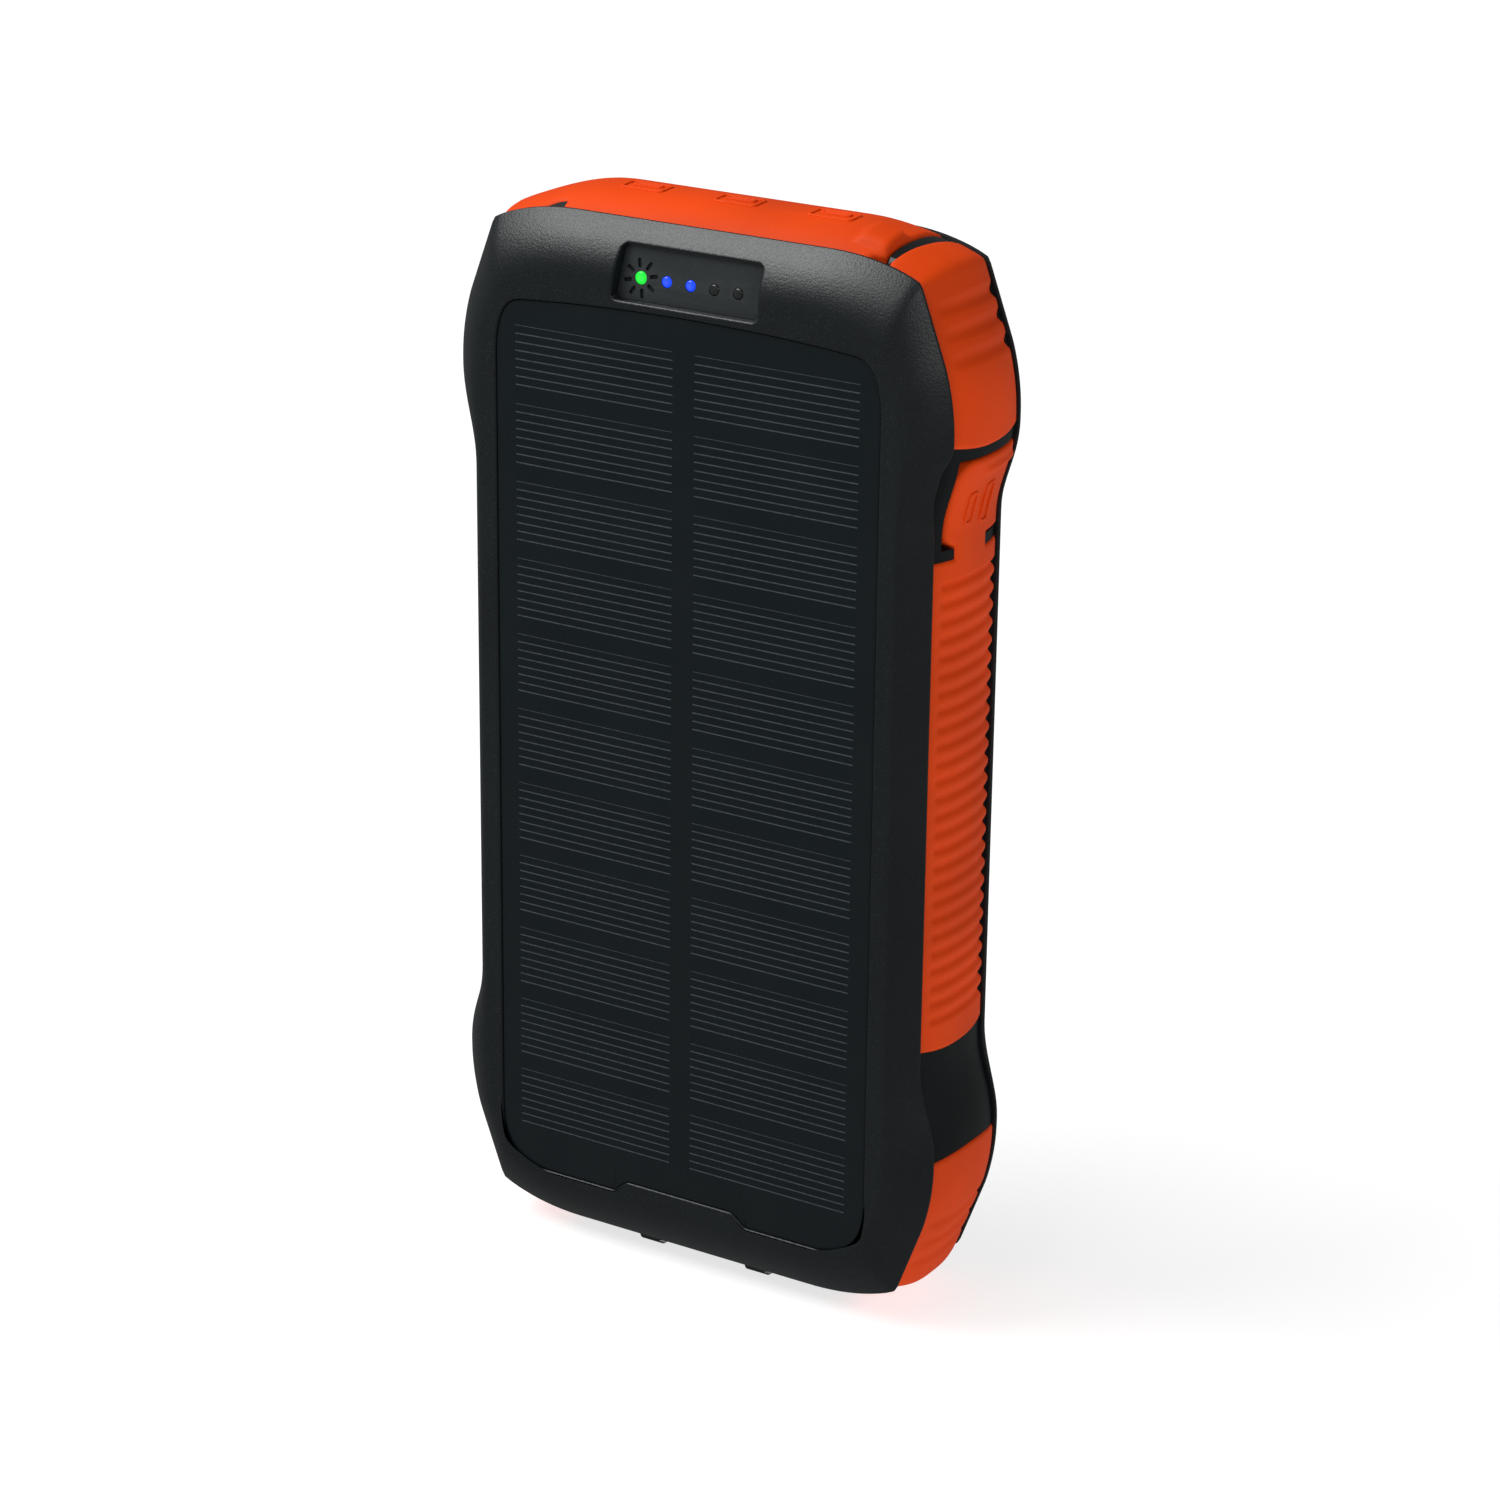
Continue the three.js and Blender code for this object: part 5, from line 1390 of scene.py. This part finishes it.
class BANK_OT_stage(bpy.types.Operator):
    """Pale floor, soft studio lights and the camera"""

    bl_idname = "bank.stage"
    bl_label = "Stage"

    def execute(self, context):
        scene, stage = context.scene, context.scene.bank_stage
        scene.view_settings.view_transform = "Standard"
        self.floor(stage)
        scene.camera = self.camera(stage)
        scene.world = self.world(stage)
        for name, place, size in LAMPS:
            self.light(name, Vector(place), size, getattr(stage, name))
        return {"FINISHED"}

    def floor(self, stage):
        mesh = bpy.data.meshes.new("floor")
        corners = np.array([(-1, -1, 0), (1, -1, 0), (1, 1, 0), (-1, 1, 0)]) * FLOOR_REACH
        mesh.from_pydata(corners.tolist(), [], [(0, 1, 2, 3)])
        finish = Finish("floor", 0.35, 0.2)
        tone = finish.blend(finish.noise(40, 2), (0.41, 0.41, 0.41), (0.43, 0.43, 0.43))
        x, y, _ = finish.axes()
        # Painted shade and light on the floor: its glow is dimmer near the case, deepening the
        # shadow there, and full far off, where less lamp light falls.
        away = ((x * x + y * y) ** 0.5).steps(150, 1500)
        glow = finish.blend(away, (0.8, 0.8, 0.8), (1, 1, 1))
        finish.set({"Base Color": tone, "Emission Color": glow})
        finish.set({"Emission Strength": stage.floor_glow})
        mesh.materials.append(finish.material)
        floor = link("floor", mesh)
        floor.visible_glossy = False

    def camera(self, stage):
        data = bpy.data.cameras.new("camera")
        data.sensor_width, data.lens = 36, stage.lens
        data.clip_start, data.clip_end = 0.01, 20
        camera = link("camera", data)
        camera.location = stage.camera_place
        az, el, roll = stage.azimuth, stage.elevation, stage.roll
        back = Vector((math.sin(az) * math.cos(el), -math.cos(az) * math.cos(el), math.sin(el)))
        turn = (-back).to_track_quat("-Z", "Y").to_matrix() @ Matrix.Rotation(roll, 3, "Z")
        camera.rotation_euler = turn.to_euler()
        return camera

    def world(self, stage):
        world = bpy.data.worlds.new("studio")
        world.use_nodes = True
        colour, strength = world.node_tree.nodes["Background"].inputs[:2]
        colour.default_value, strength.default_value = (1, 1, 1, 1), stage.fill
        return world

    def light(self, name, place, size, power):
        """A round light that shines at the middle of the case."""
        data = bpy.data.lights.new(name, "AREA")
        data.shape, data.size, data.energy = "DISK", size, power
        light = link(name, data)
        light.location = place
        light.rotation_euler = (Vector((0, 0, 0.09)) - place).to_track_quat("-Z", "Y").to_euler()


# ------------------------------------------------------------------ settings and registration
class BankSizes(bpy.types.PropertyGroup):
    """Sizes of the surface detail"""

    rib_depth: bpy.props.FloatProperty(
        name="Rib depth", description="Depth of the grooves between the rubber's ribs",
        default=0.0005, unit="LENGTH", precision=4)
    lip_height: bpy.props.FloatProperty(
        name="Lip height", description="Height of the top flap's pull lip",
        default=0.0009, unit="LENGTH", precision=4)
    panel_gap: bpy.props.FloatProperty(
        name="Panel gap", description="Gap between the panel's edge and its seat",
        default=0.00012, unit="LENGTH", precision=5)


class BankLook(bpy.types.PropertyGroup):
    """Colours of the case and its lights"""

    orange: bpy.props.FloatVectorProperty(
        name="Orange", description="Colour of the bumpers, grips and flaps", subtype="COLOR",
        size=3, min=0, max=1, default=(0.67, 0.053, 0.002))
    black: bpy.props.FloatVectorProperty(
        name="Black", description="Colour of the covers", subtype="COLOR",
        size=3, min=0, max=1, default=(0.0055, 0.0078, 0.0087))
    green: bpy.props.FloatVectorProperty(
        name="Sun light", description="Colour of the charging light", subtype="COLOR",
        size=3, min=0, max=1, default=(0.01, 0.70, 0.04))
    blue: bpy.props.FloatVectorProperty(
        name="Level lights", description="Colour of the charge level lights", subtype="COLOR",
        size=3, min=0, max=1, default=(0.0, 0.05, 1.0))
    lamp_strength: bpy.props.FloatProperty(
        name="Lamp strength", description="Brightness of the lit lights", subtype="FACTOR",
        default=1.1, min=0)


class BankStage(bpy.types.PropertyGroup):
    """Camera and lights"""

    camera_place: bpy.props.FloatVectorProperty(
        name="Camera", description="Place of the camera", subtype="TRANSLATION", unit="LENGTH",
        default=(0.3323, -0.5260, 0.3143))
    azimuth: bpy.props.FloatProperty(
        name="Azimuth", description="Direction of the camera round the object", subtype="ANGLE",
        default=math.radians(32.03))
    elevation: bpy.props.FloatProperty(
        name="Elevation", description="Height of the camera above the horizon", subtype="ANGLE",
        default=math.radians(20.18))
    roll: bpy.props.FloatProperty(
        name="Roll", description="Tilt of the camera about its own axis", subtype="ANGLE",
        default=math.radians(0.65))
    lens: bpy.props.FloatProperty(
        name="Lens", description="Focal length in millimetres", unit="CAMERA",
        default=101.5, min=10)
    floor_glow: bpy.props.FloatProperty(
        name="Floor glow", description="Evenness of the floor's white", subtype="FACTOR",
        default=0.93, min=0)
    fill: bpy.props.FloatProperty(
        name="Fill", description="Brightness all round", subtype="FACTOR", default=0.15, min=0)
    key: bpy.props.FloatProperty(
        name="Key", description="Power of the main light", unit="POWER", default=12, min=0)
    side: bpy.props.FloatProperty(
        name="Side", description="Power of the right light", unit="POWER", default=2, min=0)
    front: bpy.props.FloatProperty(
        name="Front", description="Power of the front light", unit="POWER", default=2.2, min=0)


STEPS = (
    BANK_OT_stage,
    BANK_OT_front_cover,
    BANK_OT_rear_cover,
    BANK_OT_frame,
    BANK_OT_solar_panel,
    BANK_OT_window,
    BANK_OT_bumpers,
    BANK_OT_side_rubber,
    BANK_OT_top_rubber,
    BANK_OT_port_marks,
    BANK_OT_fittings,
    BANK_OT_inner_parts,
)


class BANK_PT_panel(bpy.types.Panel):
    """Lists the steps that build the power bank"""

    bl_idname = "BANK_PT_panel"
    bl_label = "Power bank"
    bl_space_type = "VIEW_3D"
    bl_region_type = "UI"
    bl_category = "Power bank"

    def draw(self, context):
        for group in (context.scene.bank_sizes, context.scene.bank_look, context.scene.bank_stage):
            for key in group.bl_rna.properties.keys():
                if key not in ("rna_type", "name"):
                    self.layout.prop(group, key)
        for step in STEPS:
            self.layout.operator(step.bl_idname)


GROUPS = {"bank_sizes": BankSizes, "bank_look": BankLook, "bank_stage": BankStage}


def register():
    for cls in (*GROUPS.values(), *STEPS, BANK_PT_panel):
        bpy.utils.register_class(cls)
    for name, group in GROUPS.items():
        setattr(bpy.types.Scene, name, bpy.props.PointerProperty(type=group))


def unregister():
    for name in GROUPS:
        delattr(bpy.types.Scene, name)
    for cls in (BANK_PT_panel, *reversed(STEPS), *reversed(tuple(GROUPS.values()))):
        bpy.utils.unregister_class(cls)


def main():
    """Builds every piece in order."""
    register()
    for step in STEPS:
        call = getattr(bpy.ops.bank, step.bl_idname.split(".")[1])
        if call() != {"FINISHED"}:
            raise RuntimeError(f"{step.bl_label} wasn't finished")


if __name__ == "__main__":
    main()
